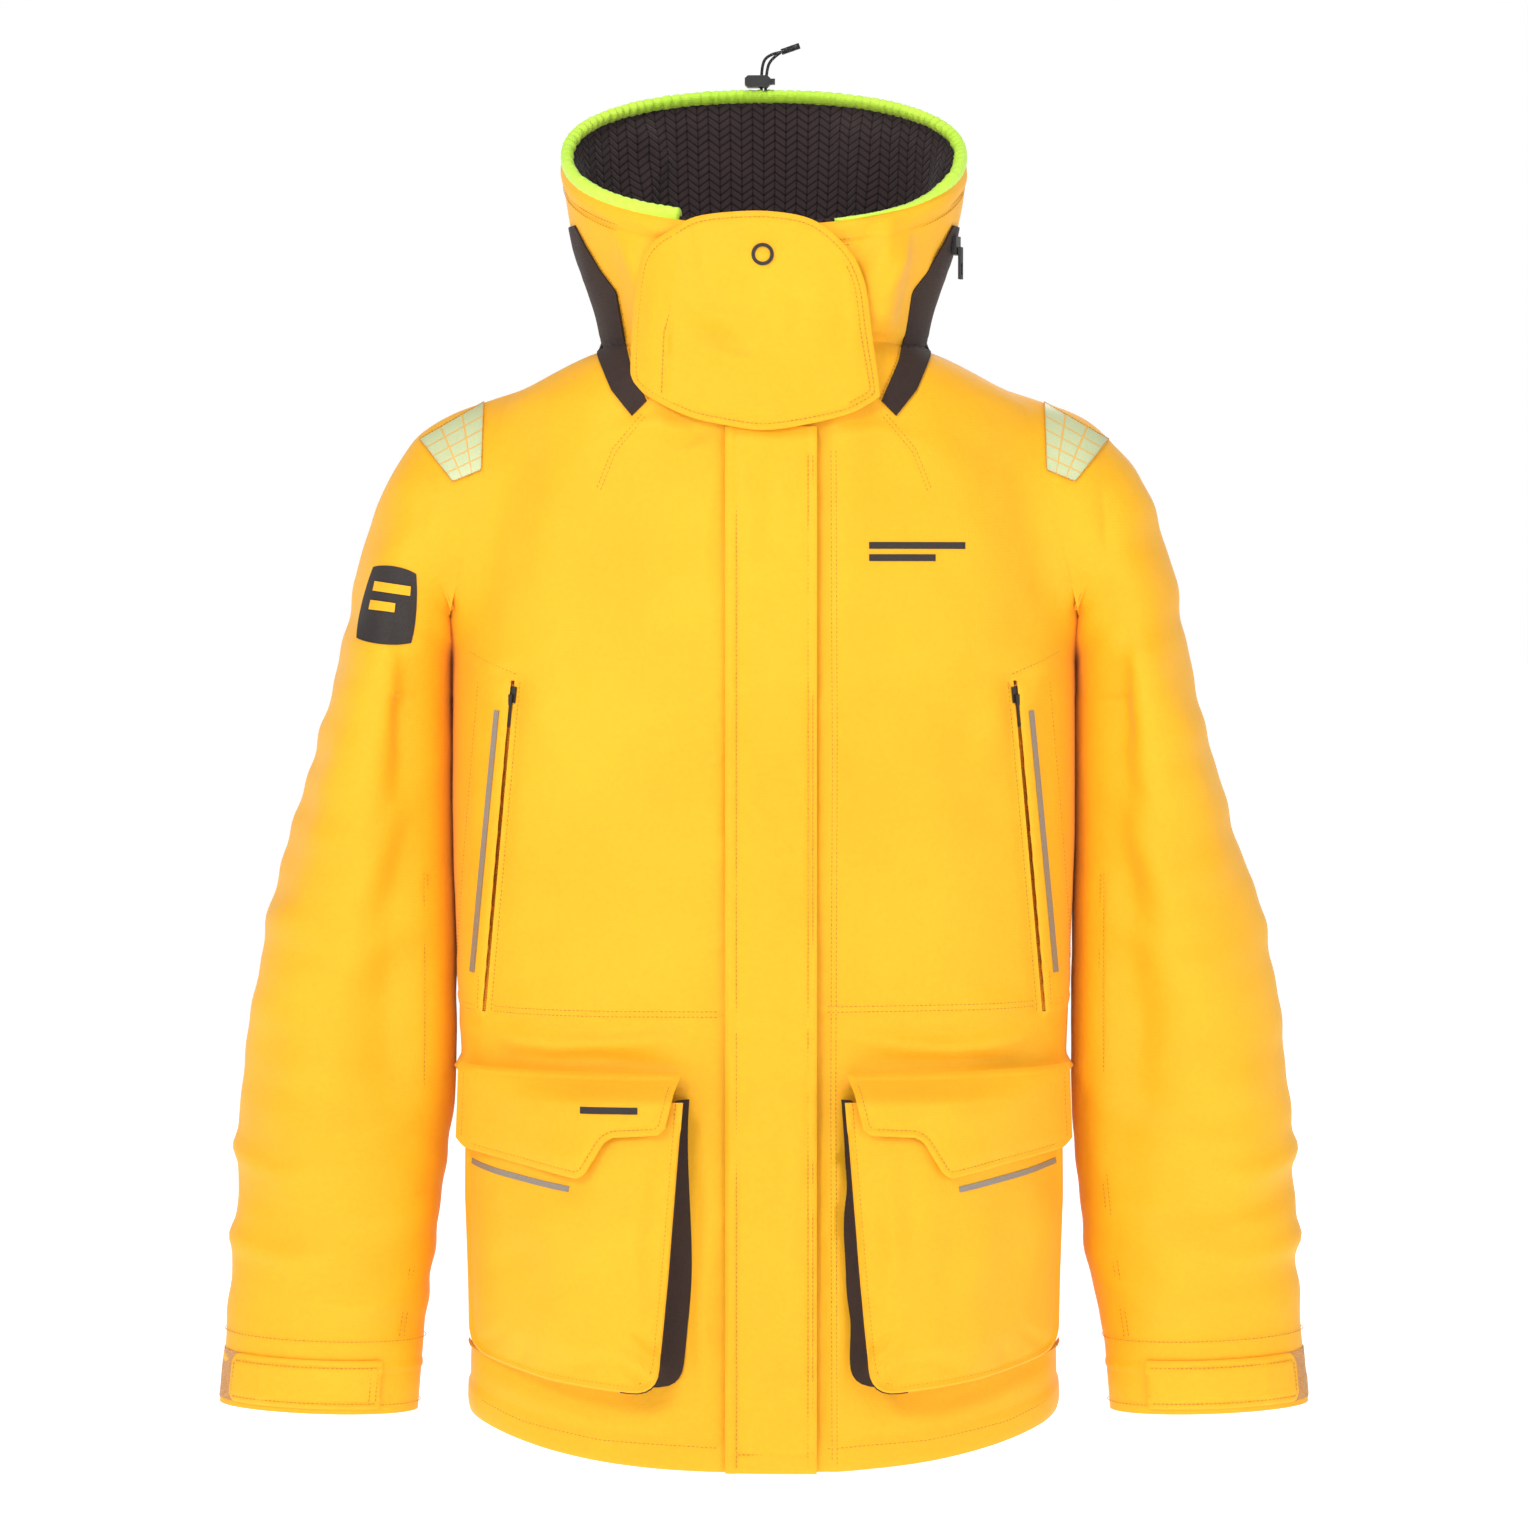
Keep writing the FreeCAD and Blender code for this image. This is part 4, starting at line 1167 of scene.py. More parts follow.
def make_storm_flap():
    cols, rows = 40, 380
    xs = np.linspace(-28.5, 38.7, cols)
    zs = np.linspace(-830, -63, rows)
    x, z = np.meshgrid(xs, zs)
    free, sewn = x + 28.5, 38.7 - x
    rng_wave = np.sin(z / 5.2 + 2.2 * np.sin(z / 37)) * (0.5 + 0.5 * np.sin(z / 61 + 1))
    h = 0.55 * rng_wave * np.exp(-free / 9)
    h += 0.5 * np.sin(z / 4.6 + 1.7 * np.sin(z / 29)) * np.exp(-sewn / 8)
    h += 0.8 * ripples(x * 1.5, z * 0.6, 0 * x, 90, 61) + 0.5 * ripples(x, z, 0 * x, 38, 62)
    h += stroke_field(x, z, [
        ([(-26, -500), (0, -496), (36, -502)], 5, 1.6), ([(-26, -512), (10, -508), (36, -514)], 5, -1.4),
        ([(-20, -90), (-6, -120), (-10, -170)], 7, 1.5), ([(24, -86), (14, -110), (20, -150)], 6, 1.3),
        ([(-22, -560), (-12, -640), (-18, -700)], 6, 1.0), ([(28, -560), (20, -660), (26, -760)], 6, 1.2)])
    h += 0.5 * np.exp(-((free - 4) / 2.6) ** 2) - 0.6 * np.exp(-((free - 8.2) / 1.0) ** 2)
    h += 0.5 * np.exp(-((sewn - 3) / 2.4) ** 2) - 0.6 * np.exp(-((sewn - 6.5) / 1.0) ** 2)
    h -= 1.4 * (1 - ease(free / 2.6)) + 0.5 * (1 - ease(sewn / 2))
    h -= 2.6 * ease((z + 73) / 10)
    h -= 1.2 * (1 - ease((z + 830) / 3)) + 0.6 * np.exp(-((z + 816) / 1.2) ** 2)
    h = np.minimum(h, 2.6)
    p = np.stack([x, front_y(z) - 6.3 - h, z], -1)
    o = mesh_object("storm_flap_cloth", p.reshape(-1, 3), grid_faces(rows, cols), YELLOW)
    face_out(o, way=(0, -1, 0))
    thick(o, 2.0, YELLOW_IN)
    finish_piece(o, "storm_flap_body", "shell_fabric", "storm_flap")
    for dx in (-28.5 + 8.2, 38.7 - 3.0, 38.7 - 6.5):
        zz = np.arange(-826, -76, 5.0)
        q = np.stack([dx + 0 * zz, front_y(zz) - 6.55 + 0 * zz, zz], -1)
        stitch("storm_flap_body", q, np.tile([0.0, -1.0, 0.0], (len(q), 1)))
    xx = np.arange(-20, 32, 3.0)
    q = np.stack([xx, front_y(-816.0) - 6.1 + 0 * xx, -816.0 + 0 * xx], -1)
    stitch("storm_flap_body", q, np.tile([0.0, -1.0, 0.0], (len(q), 1)))


make_storm_flap()

# ---- Details sewn on the body ----
front_tree = tree_of(*(CLOTH[n] for n in ("front_panel_right", "front_panel_left",
                                          "front_skirt_right", "front_skirt_left")))
for sign in (-1, 1):
    edge_x = -34 if sign < 0 else 46
    hem = [(edge_x, -812), (sign * 120, -808), (sign * 180, -799), (sign * 212, -789)]
    seam("torso", front_tree, hem, (0.0,))
    for waist in ([(edge_x, -492), (sign * 202, -492)], [(sign * 216, -492), (sign * 226, -492)]):
        seam("torso", front_tree, waist, (0.0, 4.0))
    slit = [(sign * 186, -250), (sign * 209, -498)]
    seam("torso", front_tree, [(q[0] + sign * 27, q[1]) for q in slit], (0.0,))
    seam("torso", front_tree, [(q[0] - sign * 5.5, q[1]) for q in slit], (0.0,))
    seam("torso", front_tree, [(sign * 183, -245), (sign * 205, -236), (sign * 222, -228)], (0.0,))
    tip = [(sign * 88, -54), (sign * 110, -80), (sign * 122, -110)]
    seam("torso", front_tree, tip, (-1.6, 1.6))
seam("torso", front_tree, [(49, -80), (50, -300), (49, -560), (50, -824)], (0.0, 3.6))


def on_cloth(name, tree, across, along, points, lift, mm, material, body, slot_name, *nodes):
    """A thin piece laid on the cloth: points(u, v) gives (x, z)."""
    us, vs = np.linspace(0, 1, across), np.linspace(0, 1, along)
    xz = [points(u, v) for v in vs for u in us]
    p, _ = on_tree(tree, xz, lift)
    o = mesh_object(name, p, grid_faces(along, across), material)
    face_out(o, way=(0, -1, 0))
    thick(o, mm)
    finish_piece(o, body, slot_name, *nodes)
    return o


def strip_points(ends, wide):
    (x0, z0), (x1, z1) = ends
    l = math.hypot(x1 - x0, z1 - z0)
    nx, nz = -(z1 - z0) / l, (x1 - x0) / l

    def at(u, v):
        w = (u - 0.5) * wide
        return (x0 + (x1 - x0) * v + nx * w, z0 + (z1 - z0) * v + nz * w)
    return at


for side, sign in (("right", -1), ("left", 1)):
    ends = [(sign * 198, -272), (sign * 218, -468)]
    on_cloth(f"chest_strip_{side}", front_tree, 3, 60, strip_points(ends, 3.6), 1.0, 0.7, GREY,
             "torso", "reflective_grey", "chest_reflective_strips")
bars = [((77, -150), (148, -150), 5.0), ((77, -159), (126, -159), 5.0)]
for k, (a, b, wide) in enumerate(bars):
    on_cloth(f"chest_mark_{k}", front_tree, 4, 24, strip_points([a, b], wide), 0.5, 0.4, MARK,
             "torso", "pull_plastic")


# ---- Cargo pockets: puffed fronts, dark bellows and their flaps ----
def trunk_at(x, z, off):
    """The front of the trunk at x and z, raised by off."""
    half, deep, mid, power = section(TORSO, z)
    s = np.minimum(np.abs(x) / (half + off), 0.9985)
    return mid - (deep + off) * (1 - s ** power) ** (1 / power)


def pocket_rise(x):
    """How far the pocket's front stands off the trunk: more towards the middle."""
    u = (222 - np.abs(x)) / 155
    return 5 + 20 * ease(1.5 * u)


POCKET_EDGE = rounded(
    [(-224, -556), (-226, -640), (-223, -752), (-160, -763), (-78, -771), (-70, -690), (-59, -556)],
    [0, 0, 16, 0, 20, 0, 0])
POCKET_FOLDS = [
    ([(-84, -766), (-108, -742)], 3.2, -3.4), ([(-76, -758), (-104, -736)], 3.0, 2.6),
    ([(-72, -745), (-96, -722)], 3.4, -3.2), ([(-214, -752), (-190, -726)], 5, -2.2),
    ([(-90, -600), (-96, -660), (-88, -720)], 9, 3.0), ([(-118, -620), (-120, -680)], 12, 2.4),
    ([(-212, -640), (-200, -700)], 10, 2.2), ([(-170, -650), (-150, -700), (-160, -740)], 14, 2.2),
    ([(-140, -752), (-120, -744), (-104, -750)], 5, -2.0), ([(-72, -640), (-86, -650)], 4, -1.8),
    ([(-72, -700), (-88, -708)], 4, -1.8), ([(-180, -756), (-176, -738)], 4, -1.6),
]


def pocket_height(x, z, d, seed):
    h = 7.0 * ease(d / 34) * (0.75 + 0.25 * ease((-z - 600) / 80))
    h += stroke_field(x, z, POCKET_FOLDS) * ease(d / 5)
    h += (1.6 * ripples(x, z, 0 * x, 95, seed) + 0.7 * ripples(x, z, 0 * x, 40, seed + 1)) * ease(d / 16)
    h += 0.9 * np.exp(-((d - 1.6) / 1.5) ** 2) - 0.8 * np.exp(-((d - 5.4) / 1.2) ** 2)
    h -= 1.6 * (1 - ease(d / 1.6))
    return h * ease((-z - 556) / 30)


def make_pocket(side, sign, seed):
    edge = dense(POCKET_EDGE, 3.6)
    xz, faces, _ = rings_in(edge, 44, np.array([-146.0, -668.0]))
    x, z = xz.T
    d = edge_distance(xz, edge)
    off = pocket_rise(x) + pocket_height(x, z, d, seed)
    p = np.stack([x * -sign, trunk_at(x, z, off), z], -1)
    o = mesh_object(f"cargo_pocket_{side}", p, faces, YELLOW)
    face_out(o, way=(0, -1, 0))
    thick(o, SHELL_MM, YELLOW_IN)
    finish_piece(o, "torso", "shell_fabric", f"cargo_pocket_front_{side}")
    inner = np.array(POCKET_EDGE)
    run = dense([q for q in inner if q[0] > -150][::-1] + [(-160, -763), (-222, -752.0)], 3.6, False)
    line = run + np.array([-5.4, 4.0]) * np.array([[1, 0.0]]) + np.stack(
        [0 * run[:, 0], 5.4 * ease((-740 - run[:, 1]) / 24)], -1)
    off = pocket_rise(line[:, 0]) + pocket_height(line[:, 0], line[:, 1], np.full(len(line), 5.4), seed)
    q = np.stack([line[:, 0] * -sign, trunk_at(line[:, 0], line[:, 1], off), line[:, 1]], -1)
    stitch("torso", q + [0, -0.25, 0], np.tile([0.0, -1.0, 0.0], (len(q), 1)))
    rows = []
    cols = 13
    for a, b in run:
        corner = ease((-735 - b) / 34)
        below = ease((-a - 84) / 30)
        reach = 4 + 13 * ease((-b - 556) / 150)
        foot = np.array([a + reach * (1 - below), b + 1.5 * corner - 1.0 * below])
        foot[0] = min(foot[0], -53.0) if below < 0.5 else foot[0]
        for j in range(cols):
            v = j / (cols - 1)
            c = np.array([a, b]) * (1 - v) + foot * v
            fold = math.sin(math.pi * v) * (6.0 * (1 - below) + 2.0)
            wave = 0.8 * math.sin(b / 7.0 + 5 * v) * math.sin(math.pi * v)
            cx = c[0] - (fold + wave) * (1 - corner * 0.5)
            cz = c[1] + (fold + wave) * corner
            top = float(pocket_rise(np.array(a))) - 1.0
            level = top * (1 - v) + 0.6 * v
            y = trunk_at(np.array(cx), np.array(cz), level)
            rows.append((cx * -sign, float(y), cz))
    g = mesh_object(f"pocket_gusset_{side}", np.array(rows), grid_faces(len(run), cols),
                    [DARK, YELLOW_IN])
    for f in g.data.polygons:
        if abs(f.center.x) > 0.104 and f.center.z < -0.735:
            f.material_index = 1
    thick(g, 1.0, offset=0.0)
    finish_piece(g, "torso", "dark_stretch", "cargo_pocket_gussets")


FLAP_EDGE = rounded(
    [(-229, -536), (-231, -592), (-224, -598), (-180, -604), (-136, -612), (-130, -607),
     (-116, -584), (-110, -581), (-77, -579), (-72, -574), (-66, -550), (-60, -536)],
    [0, 0, 3, 0, 4, 0, 4, 0, 3, 0, 0, 2])
FLAP_FOLDS = [
    ([(-66, -550), (-61, -538)], 1.3, -1.0), ([(-200, -560), (-160, -568), (-120, -562)], 9, 1.4),
    ([(-150, -606), (-160, -586)], 5, 1.2), ([(-218, -590), (-206, -570)], 5, -1.0),
    ([(-96, -576), (-100, -556)], 6, 1.0),
]


def flap_place(x, z, d, seed):
    """The flap's outer face: folded over at the top and stepping out over the pocket."""
    v = np.clip((-538 - z) / 66, 0, 1)
    off = 10 + (pocket_rise(x) - 5) * ease(v / 0.3) + 4.6
    h = 1.8 * ease(d / 14) + stroke_field(x, z, FLAP_FOLDS) * ease(d / 4)
    h += (0.9 * ripples(x, z, 0 * x, 70, seed) + 0.4 * ripples(x, z, 0 * x, 28, seed + 1)) * ease(d / 8)
    h += 0.6 * np.exp(-((d - 2.2) / 1.6) ** 2) - 0.7 * np.exp(-((d - 5.0) / 1.0) ** 2)
    h -= 1.3 * (1 - ease(d / 1.6)) + 5.0 * (1 - ease((-534 - z) / 9)) ** 1.5
    low = 3.2 * ease((-z - 560) / 40)
    return trunk_at(x, z, off + h + low)


def make_flap(side, sign, seed):
    edge = dense(FLAP_EDGE, 2.6)
    xz, faces, _ = rings_in(edge, 20, np.array([-128.0, -560.0]))
    d = edge_distance(xz, edge)
    x, z = xz.T
    p = np.stack([x * -sign, flap_place(x, z, d, seed), z], -1)
    o = mesh_object(f"cargo_flap_cloth_{side}", p, faces, YELLOW)
    face_out(o, way=(0, -1, 0))
    thick(o, 2.2, YELLOW_IN)
    body_name = f"cargo_flap_{side}_body"
    finish_piece(o, body_name, "shell_fabric", f"cargo_flap_{side}")
    centre = np.array([-140.0, -560.0])
    way = np.roll(edge, -1, 0) - np.roll(edge, 1, 0)
    way /= np.linalg.norm(way, axis=1, keepdims=True)
    inward = np.stack([-way[:, 1], way[:, 0]], -1)
    if ((centre - edge) * inward).sum() < 0:
        inward = -inward
    line = edge + inward * 5.0
    keep = line[:, 1] < -541
    first = int(np.argmax(~np.roll(keep, 1) & keep))
    order = np.roll(np.arange(len(edge)), -first)
    order = order[keep[order]]
    lx, lz = line[order].T
    q = np.stack([lx * -sign, flap_place(lx, lz, np.full(len(lx), 5.0), seed) - 0.3, lz], -1)
    stitch(body_name, q, np.tile([0.0, -1.0, 0.0], (len(q), 1)))
    ends = [(-219, -609.5), (-143, -620.5)]
    us, vs = np.linspace(0, 1, 4), np.linspace(0, 1, 44)
    at = strip_points(ends, 4.3)
    line = np.array([at(u, v) for v in vs for u in us])
    full = dense(POCKET_EDGE, 3.6)
    depth = edge_distance(line, full)
    off = pocket_rise(line[:, 0]) + pocket_height(line[:, 0], line[:, 1], depth, seed + 50)
    y = trunk_at(line[:, 0], line[:, 1], off + 0.7)
    s = mesh_object(f"pocket_strip_{side}", np.stack([line[:, 0] * -sign, y, line[:, 1]], -1),
                    grid_faces(len(vs), 4), GREY)
    face_out(s, way=(0, -1, 0))
    thick(s, 0.6)
    finish_piece(s, "torso", "reflective_grey", "cargo_reflective_strips")
    if sign > 0:
        return
    mark = np.array([strip_points([(-134, -561), (-92, -561)], 5.0)(u, v)
                     for v in np.linspace(0, 1, 20) for u in us])
    y = flap_place(mark[:, 0], mark[:, 1], edge_distance(mark, edge), seed) - 0.35
    m = mesh_object("flap_mark", np.stack([mark[:, 0], y, mark[:, 1]], -1), grid_faces(20, 4), MARK)
    thick(m, 0.3, offset=0.0)
    finish_piece(m, body_name, "pull_plastic")


for side, sign, seed in (("right", -1, 71), ("left", 1, 83)):
    make_pocket(side, sign, seed + 50)
    make_flap(side, sign, seed)


# ---- Cuffs, badge and shoulder patches ----
def sleeve_grid(t0, t1, a0, a1, rows, cols, off, sign):
    """Points, and their outward normals, on a sleeve between steps and angles."""
    t, a = np.meshgrid(np.linspace(t0, t1, rows), np.radians(np.linspace(a0, a1, cols)), indexing="ij")
    p = sleeve_skin(t, a, off)
    c = sleeve_skin(t, a, off - 4.0)
    n = p - c
    n /= np.linalg.norm(n, axis=-1, keepdims=True)
    flip = mirror(-sign)
    return p * flip, n * flip, t, a


def make_cuff(side, sign, seed):
    rows, cols = 34, 76
    body_name = f"cuff_tab_{side}_body"
    p, n, t, a = sleeve_grid(7.25, 7.93, 30, 128, rows, cols, 0.0, sign)
    v, u = (t - 7.25) / 0.68, (np.degrees(a) - 30) / 98
    tall, wide = 41.0, 118.0
    d = np.minimum(np.minimum(u * wide, (1 - u) * wide + 4), np.minimum(v * tall, (1 - v) * tall))
    corner = np.hypot(np.minimum(u * wide - 10, 0), np.minimum(np.minimum(v, 1 - v) * tall - 10, 0))
    d = np.where(corner > 0, np.maximum(10 - corner, 0), d)
    h = 2.8 + 1.2 * ease(d / 9) - 0.8 * np.exp(-((d - 4.8) / 1.0) ** 2) - 1.0 * (1 - ease(d / 1.4))
    h += 0.5 * ripples(p[..., 0], p[..., 2], p[..., 1], 45, seed) * ease(d / 6)
    h += 0.8 * np.exp(-((u * wide - 34) / 5) ** 2) * ease(d / 4)
    c = 10.0
    over = np.stack([np.minimum(u * wide - c, 0), np.minimum(v * tall - c, 0)
                     + np.maximum(v * tall - (tall - c), 0)], -1)
    far = np.hypot(over[..., 0], over[..., 1])
    pull_in = np.where(far > c, (far - c) / np.maximum(far, 1e-6), 0)
    du = -over[..., 0] * pull_in / wide
    dv = -over[..., 1] * pull_in / tall
    t2, a2 = t + dv * 0.68, a + np.radians(du * 98)
    base = sleeve_skin(t2, a2, 0.0) * mirror(-sign)
    q = base + n * h[..., None]
    faces = grid_faces(rows, cols)
    o = mesh_object(f"cuff_tab_cloth_{side}", q.reshape(-1, 3), faces, YELLOW)
    face_out(o, way=(0, -1, 0))
    thick(o, 2.0, YELLOW_IN)
    finish_piece(o, body_name, "shell_fabric", f"cuff_tab_{side}")
    for ta, tb, aa0, aa1 in ((7.34, 7.34, 36, 127), (7.85, 7.85, 36, 127), (7.36, 7.83, 35, 35),
                             (7.36, 7.83, 56, 56), (7.34, 7.86, 125, 125), (7.34, 7.86, 121, 121)):
        k = np.linspace(0, 1, 40)
        line = sleeve_skin(ta + (tb - ta) * k, np.radians(aa0 + (aa1 - aa0) * k), 3.9)
        base = sleeve_skin(ta + (tb - ta) * k, np.radians(aa0 + (aa1 - aa0) * k), 0.0)
        ln = (line - base) / 3.9
        flip = mirror(-sign)
        stitch(body_name, line * flip, ln * flip)
    p, n, t, a = sleeve_grid(7.25, 7.93, -22, 38, 30, 50, 0.9, sign)
    p = p + n * (0.25 * ripples(p[..., 0], p[..., 1], p[..., 2], 12, seed + 5))[..., None]
    o = mesh_object(f"loop_patch_{side}", p.reshape(-1, 3), grid_faces(30, 50), TAN)
    face_out(o, way=(sign, 0, 0))
    thick(o, 1.0)
    finish_piece(o, f"forearm_{side}", "hook_loop_tan", f"cuff_loop_patch_{side}")
    p, n, t, a = sleeve_grid(7.0, 8.0, 0, 360, 46, 181, -9.6, sign)
    rib = 0.7 * np.abs(np.sin(a * 60)) + 0.8 * np.sin((t - 7) * 9)
    p = p + n * (rib - 0.6)[..., None]
    faces = grid_faces(46, 181)
    o = mesh_object(f"inner_cuff_cloth_{side}", p.reshape(-1, 3), faces, DARK)
    thick(o, 1.4, offset=0.0)
    finish_piece(o, f"forearm_{side}", "dark_stretch", f"inner_cuff_{side}")
    flip = mirror(-sign)
    k = np.linspace(0, 1, 90)
    for tt, a0, a1, off in ((7.05, 0, 360, 1.5), (7.88, 130, 330, 1.2)):
        ang = np.radians(a0 + (a1 - a0) * k)
        line, base = sleeve_skin(tt + 0 * k, ang, off), sleeve_skin(tt + 0 * k, ang, 0.0)
        stitch(f"forearm_{side}", line * flip, (line - base) / off * flip)
    k = np.linspace(0, 1, 120)
    ts = 4.05 + 3.0 * k
    ang = np.radians(140 + 4 * np.sin(k * 3))
    for extra in (0.0, 4.0):
        line = sleeve_skin(ts, ang + math.radians(extra), 0.9)
        base = sleeve_skin(ts, ang + math.radians(extra), 0.0)
        stitch(f"forearm_{side}", line * flip, (line - base) / 0.9 * flip)


for side, sign, seed in (("right", -1, 91), ("left", 1, 97)):
    make_cuff(side, sign, seed)

arm_tree = {side: tree_of(CLOTH[f"upper_sleeve_{side}"]) for side in ("right", "left")}
EYE = Vector((0, -3590, -180))


def on_arm(name, sign, corners, across, along, lift, mm, material, shape=None):
    """A patch on a sleeve between four corners (x, z) seen from the front."""
    tree = arm_tree["right" if sign < 0 else "left"]
    (ax, az), (bx, bz), (cx, cz), (dx, dz) = corners
    points = []
    for v in np.linspace(0, 1, along):
        for u in np.linspace(0, 1, across):
            uu, vv = shape(u, v) if shape else (u, v)
            x = (ax * (1 - uu) + bx * uu) * (1 - vv) + (dx * (1 - uu) + cx * uu) * vv
            z = (az * (1 - uu) + bz * uu) * (1 - vv) + (dz * (1 - uu) + cz * uu) * vv
            to = (Vector((sign * abs(x), -92, z)) - EYE).normalized()
            hit, face, _, _ = tree.ray_cast(EYE, to)
            if hit is None:
                hit, face, _, _ = tree.find_nearest(Vector((sign * abs(x), -92, z)))
            points.append(hit + face * (-lift if face.dot(to) > 0 else lift))
    p = np.array(points).reshape(along, across, 3)
    for _ in range(2):
        p[1:-1, 1:-1] = (p[:-2, 1:-1] + p[2:, 1:-1] + p[1:-1, :-2] + p[1:-1, 2:]) / 8 + p[1:-1, 1:-1] / 2
    o = mesh_object(name, p.reshape(-1, 3), grid_faces(along, across), material)
    face_out(o, way=(0, -1, 0))
    thick(o, mm)
    return o, p


def tiles():
    """Pale reflective tiles in a fan of columns with warm lines between them."""
    m, nodes, links, shader = nodes_of("reflective_tiles")
    uv = nodes.new("ShaderNodeUVMap").outputs["UV"]
    split = nodes.new("ShaderNodeSeparateXYZ")
    links.new(uv, split.inputs[0])
    lines = []
    for socket, count, width in ((split.outputs[0], 3.0, 0.045), (split.outputs[1], 5.0, 0.05)):
        f = math_node(nodes, links, "FRACT", math_node(nodes, links, "MULTIPLY", socket, count))
        f = math_node(nodes, links, "ABSOLUTE", math_node(nodes, links, "SUBTRACT", f, 0.5))
        lines.append(math_node(nodes, links, "GREATER_THAN", f, 0.5 - width))
    grid = math_node(nodes, links, "MAXIMUM", *lines)
    coords = nodes.new("ShaderNodeTexCoord").outputs["Object"]
    speck = noise(nodes, links, coords, 1500.0, 2.0)
    tile = blend_colors(nodes, links, speck, (0.54, 0.61, 0.32), (0.64, 0.69, 0.42), 0.35, 0.65)
    mix = nodes.new("ShaderNodeMix")
    mix.data_type = "RGBA"
    links.new(grid, mix.inputs["Factor"])
    links.new(tile, mix.inputs[6])
    mix.inputs[7].default_value = (0.86, 0.50, 0.12, 1)
    links.new(mix.outputs[2], shader.inputs["Base Color"])
    shader.inputs["Roughness"].default_value = 0.35
    bump(nodes, links, shader, math_node(nodes, links, "SUBTRACT", 1.0, grid), 0.0003)
    return m


TILES = tiles()
for side, sign in (("right", -1), ("left", 1)):
    corners = [(261, -69), (212, -41), (214, -92), (236, -101)]
    o, p = on_arm(f"shoulder_patch_{side}", sign, corners, 18, 26, 0.9, 0.7, TILES)
    layer = o.data.uv_layers.new(name="tiles")
    for loop in o.data.loops:
        j, i = divmod(loop.vertex_index, 18)
        layer.data[loop.index].uv = (i / 17, j / 25)
    finish_piece(o, "torso", "reflective_pale", "shoulder_reflective_patches")
    rim = np.concatenate([p[0], p[1:, -1], p[-1, -2::-1], p[-2::-1, 0]])
    stitch("torso", rim + [0, -0.7, 0.2], np.tile([sign * 0.3, -0.8, 0.4], (len(rim), 1)), pitch=2.6)


def oval_corner(u, v):
    """Pulls the corners of a square patch in to round them."""
    a, b = 2 * u - 1, 2 * v - 1
    k = 1 - 0.10 * (a * a * b * b)
    return 0.5 + a * k / 2, 0.5 + b * k / 2


BADGE = [(297, -162), (262, -168), (266, -226), (312, -222)]
badge, _ = on_arm("sleeve_badge_print", -1, BADGE, 20, 20, 0.7, 0.5, MARK, oval_corner)
turn_with_arm(badge)
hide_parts("sleeve_badge")
for k, (a, b) in enumerate(((0.22, 0.34), (0.46, 0.58))):
    bar, _ = on_arm(f"badge_bar_{k}", -1, BADGE, 14, 4, 1.5, 0.3, YELLOW,
                    lambda u, v, a=a, b=b, w=0.70 - 0.25 * k: (0.16 + w * u, a + (b - a) * v))
    turn_with_arm(bar)


# ---- Zips, hook and loop, hang loop ----
def teeth_rows(foot, up, side, out, length, near, far, pitch, deep, tall):
    """Two rows of moulded teeth that mesh along a line."""
    foot, up, side, out = (np.array(v, float) for v in (foot, up, side, out))
    corners = np.array([(0, -1, -1), (1, -1, -1), (1, 1, -1), (0, 1, -1),
                        (0, -0.6, 1), (1, -0.6, 1), (1, 0.6, 1), (0, 0.6, 1)], float)
    box_faces = [(0, 3, 2, 1), (4, 5, 6, 7), (0, 1, 5, 4), (1, 2, 6, 5), (2, 3, 7, 6), (3, 0, 4, 7)]
    parts = []
    for k in range(int(length / pitch)):
        for hand in (-1, 1):
            h = (k + (0.25 if hand < 0 else 0.75)) * pitch
            c = corners * [far - near, tall / 2, deep / 2]
            verts = (foot + up * h + side * hand * (near + c[:, :1]) + up * c[:, 1:2] + out * c[:, 2:])
            parts.append((verts, box_faces if hand > 0 else [f[::-1] for f in box_faces]))
    return parts


lean = math.atan(0.026)
zip_up = np.array([0, math.sin(lean), math.cos(lean)])
zip_out = np.array([0, -math.cos(lean), math.sin(lean)])
foot = np.array([ZIP_X, -232.0, -830.0]) - zip_out * 5.5
main_teeth = join("main_zip_tooth_rows", teeth_rows(
    foot + zip_up * 3, zip_up, (1, 0, 0), zip_out, 905, -1.2, 3.6, 3.2, 2.6, 1.5), BLACK)
main_teeth.data.shade_flat()
finish_piece(main_teeth, "torso", "zip_plastic", "main_zip_teeth")

POCKET_A = np.array([186.0, 0.0, -250.0])
POCKET_B = np.array([209.0, 0.0, -498.0])


def zip_lie(sign):
    """Foot, up, side and out of a chest pocket's zip."""
    ends = []
    for q in (POCKET_A, POCKET_B):
        ends.append(np.array([q[0], float(trunk_at(np.array(q[0]), np.array(q[2]), 0.0)), q[2]]))
    up = (ends[0] - ends[1]) / np.linalg.norm(ends[0] - ends[1])
    z = (ends[0][2] + ends[1][2]) / 2
    a, b = (float(trunk_at(np.array(x), np.array(z), 0.0)) for x in (196.0, 200.0))
    out = np.array([b - a, -4.0, 0.0])
    out /= np.linalg.norm(out)
    side = np.cross(up, out)
    flip = mirror(sign)
    return (v * flip for v in (ends[1], up, side, out)), np.linalg.norm(ends[0] - ends[1])


for side, sign in (("right", -1), ("left", 1)):
    (low, up, across, out), length = zip_lie(sign)
    teeth = join(f"chest_zip_teeth_{side}", teeth_rows(
        low + up * 2 - out * 1.0, up, across, out, length - 4, -1.0, 2.0, 2.4, 1.9, 1.1), AMBER)
    teeth.data.shade_flat()
    finish_piece(teeth, "torso", "zip_plastic")


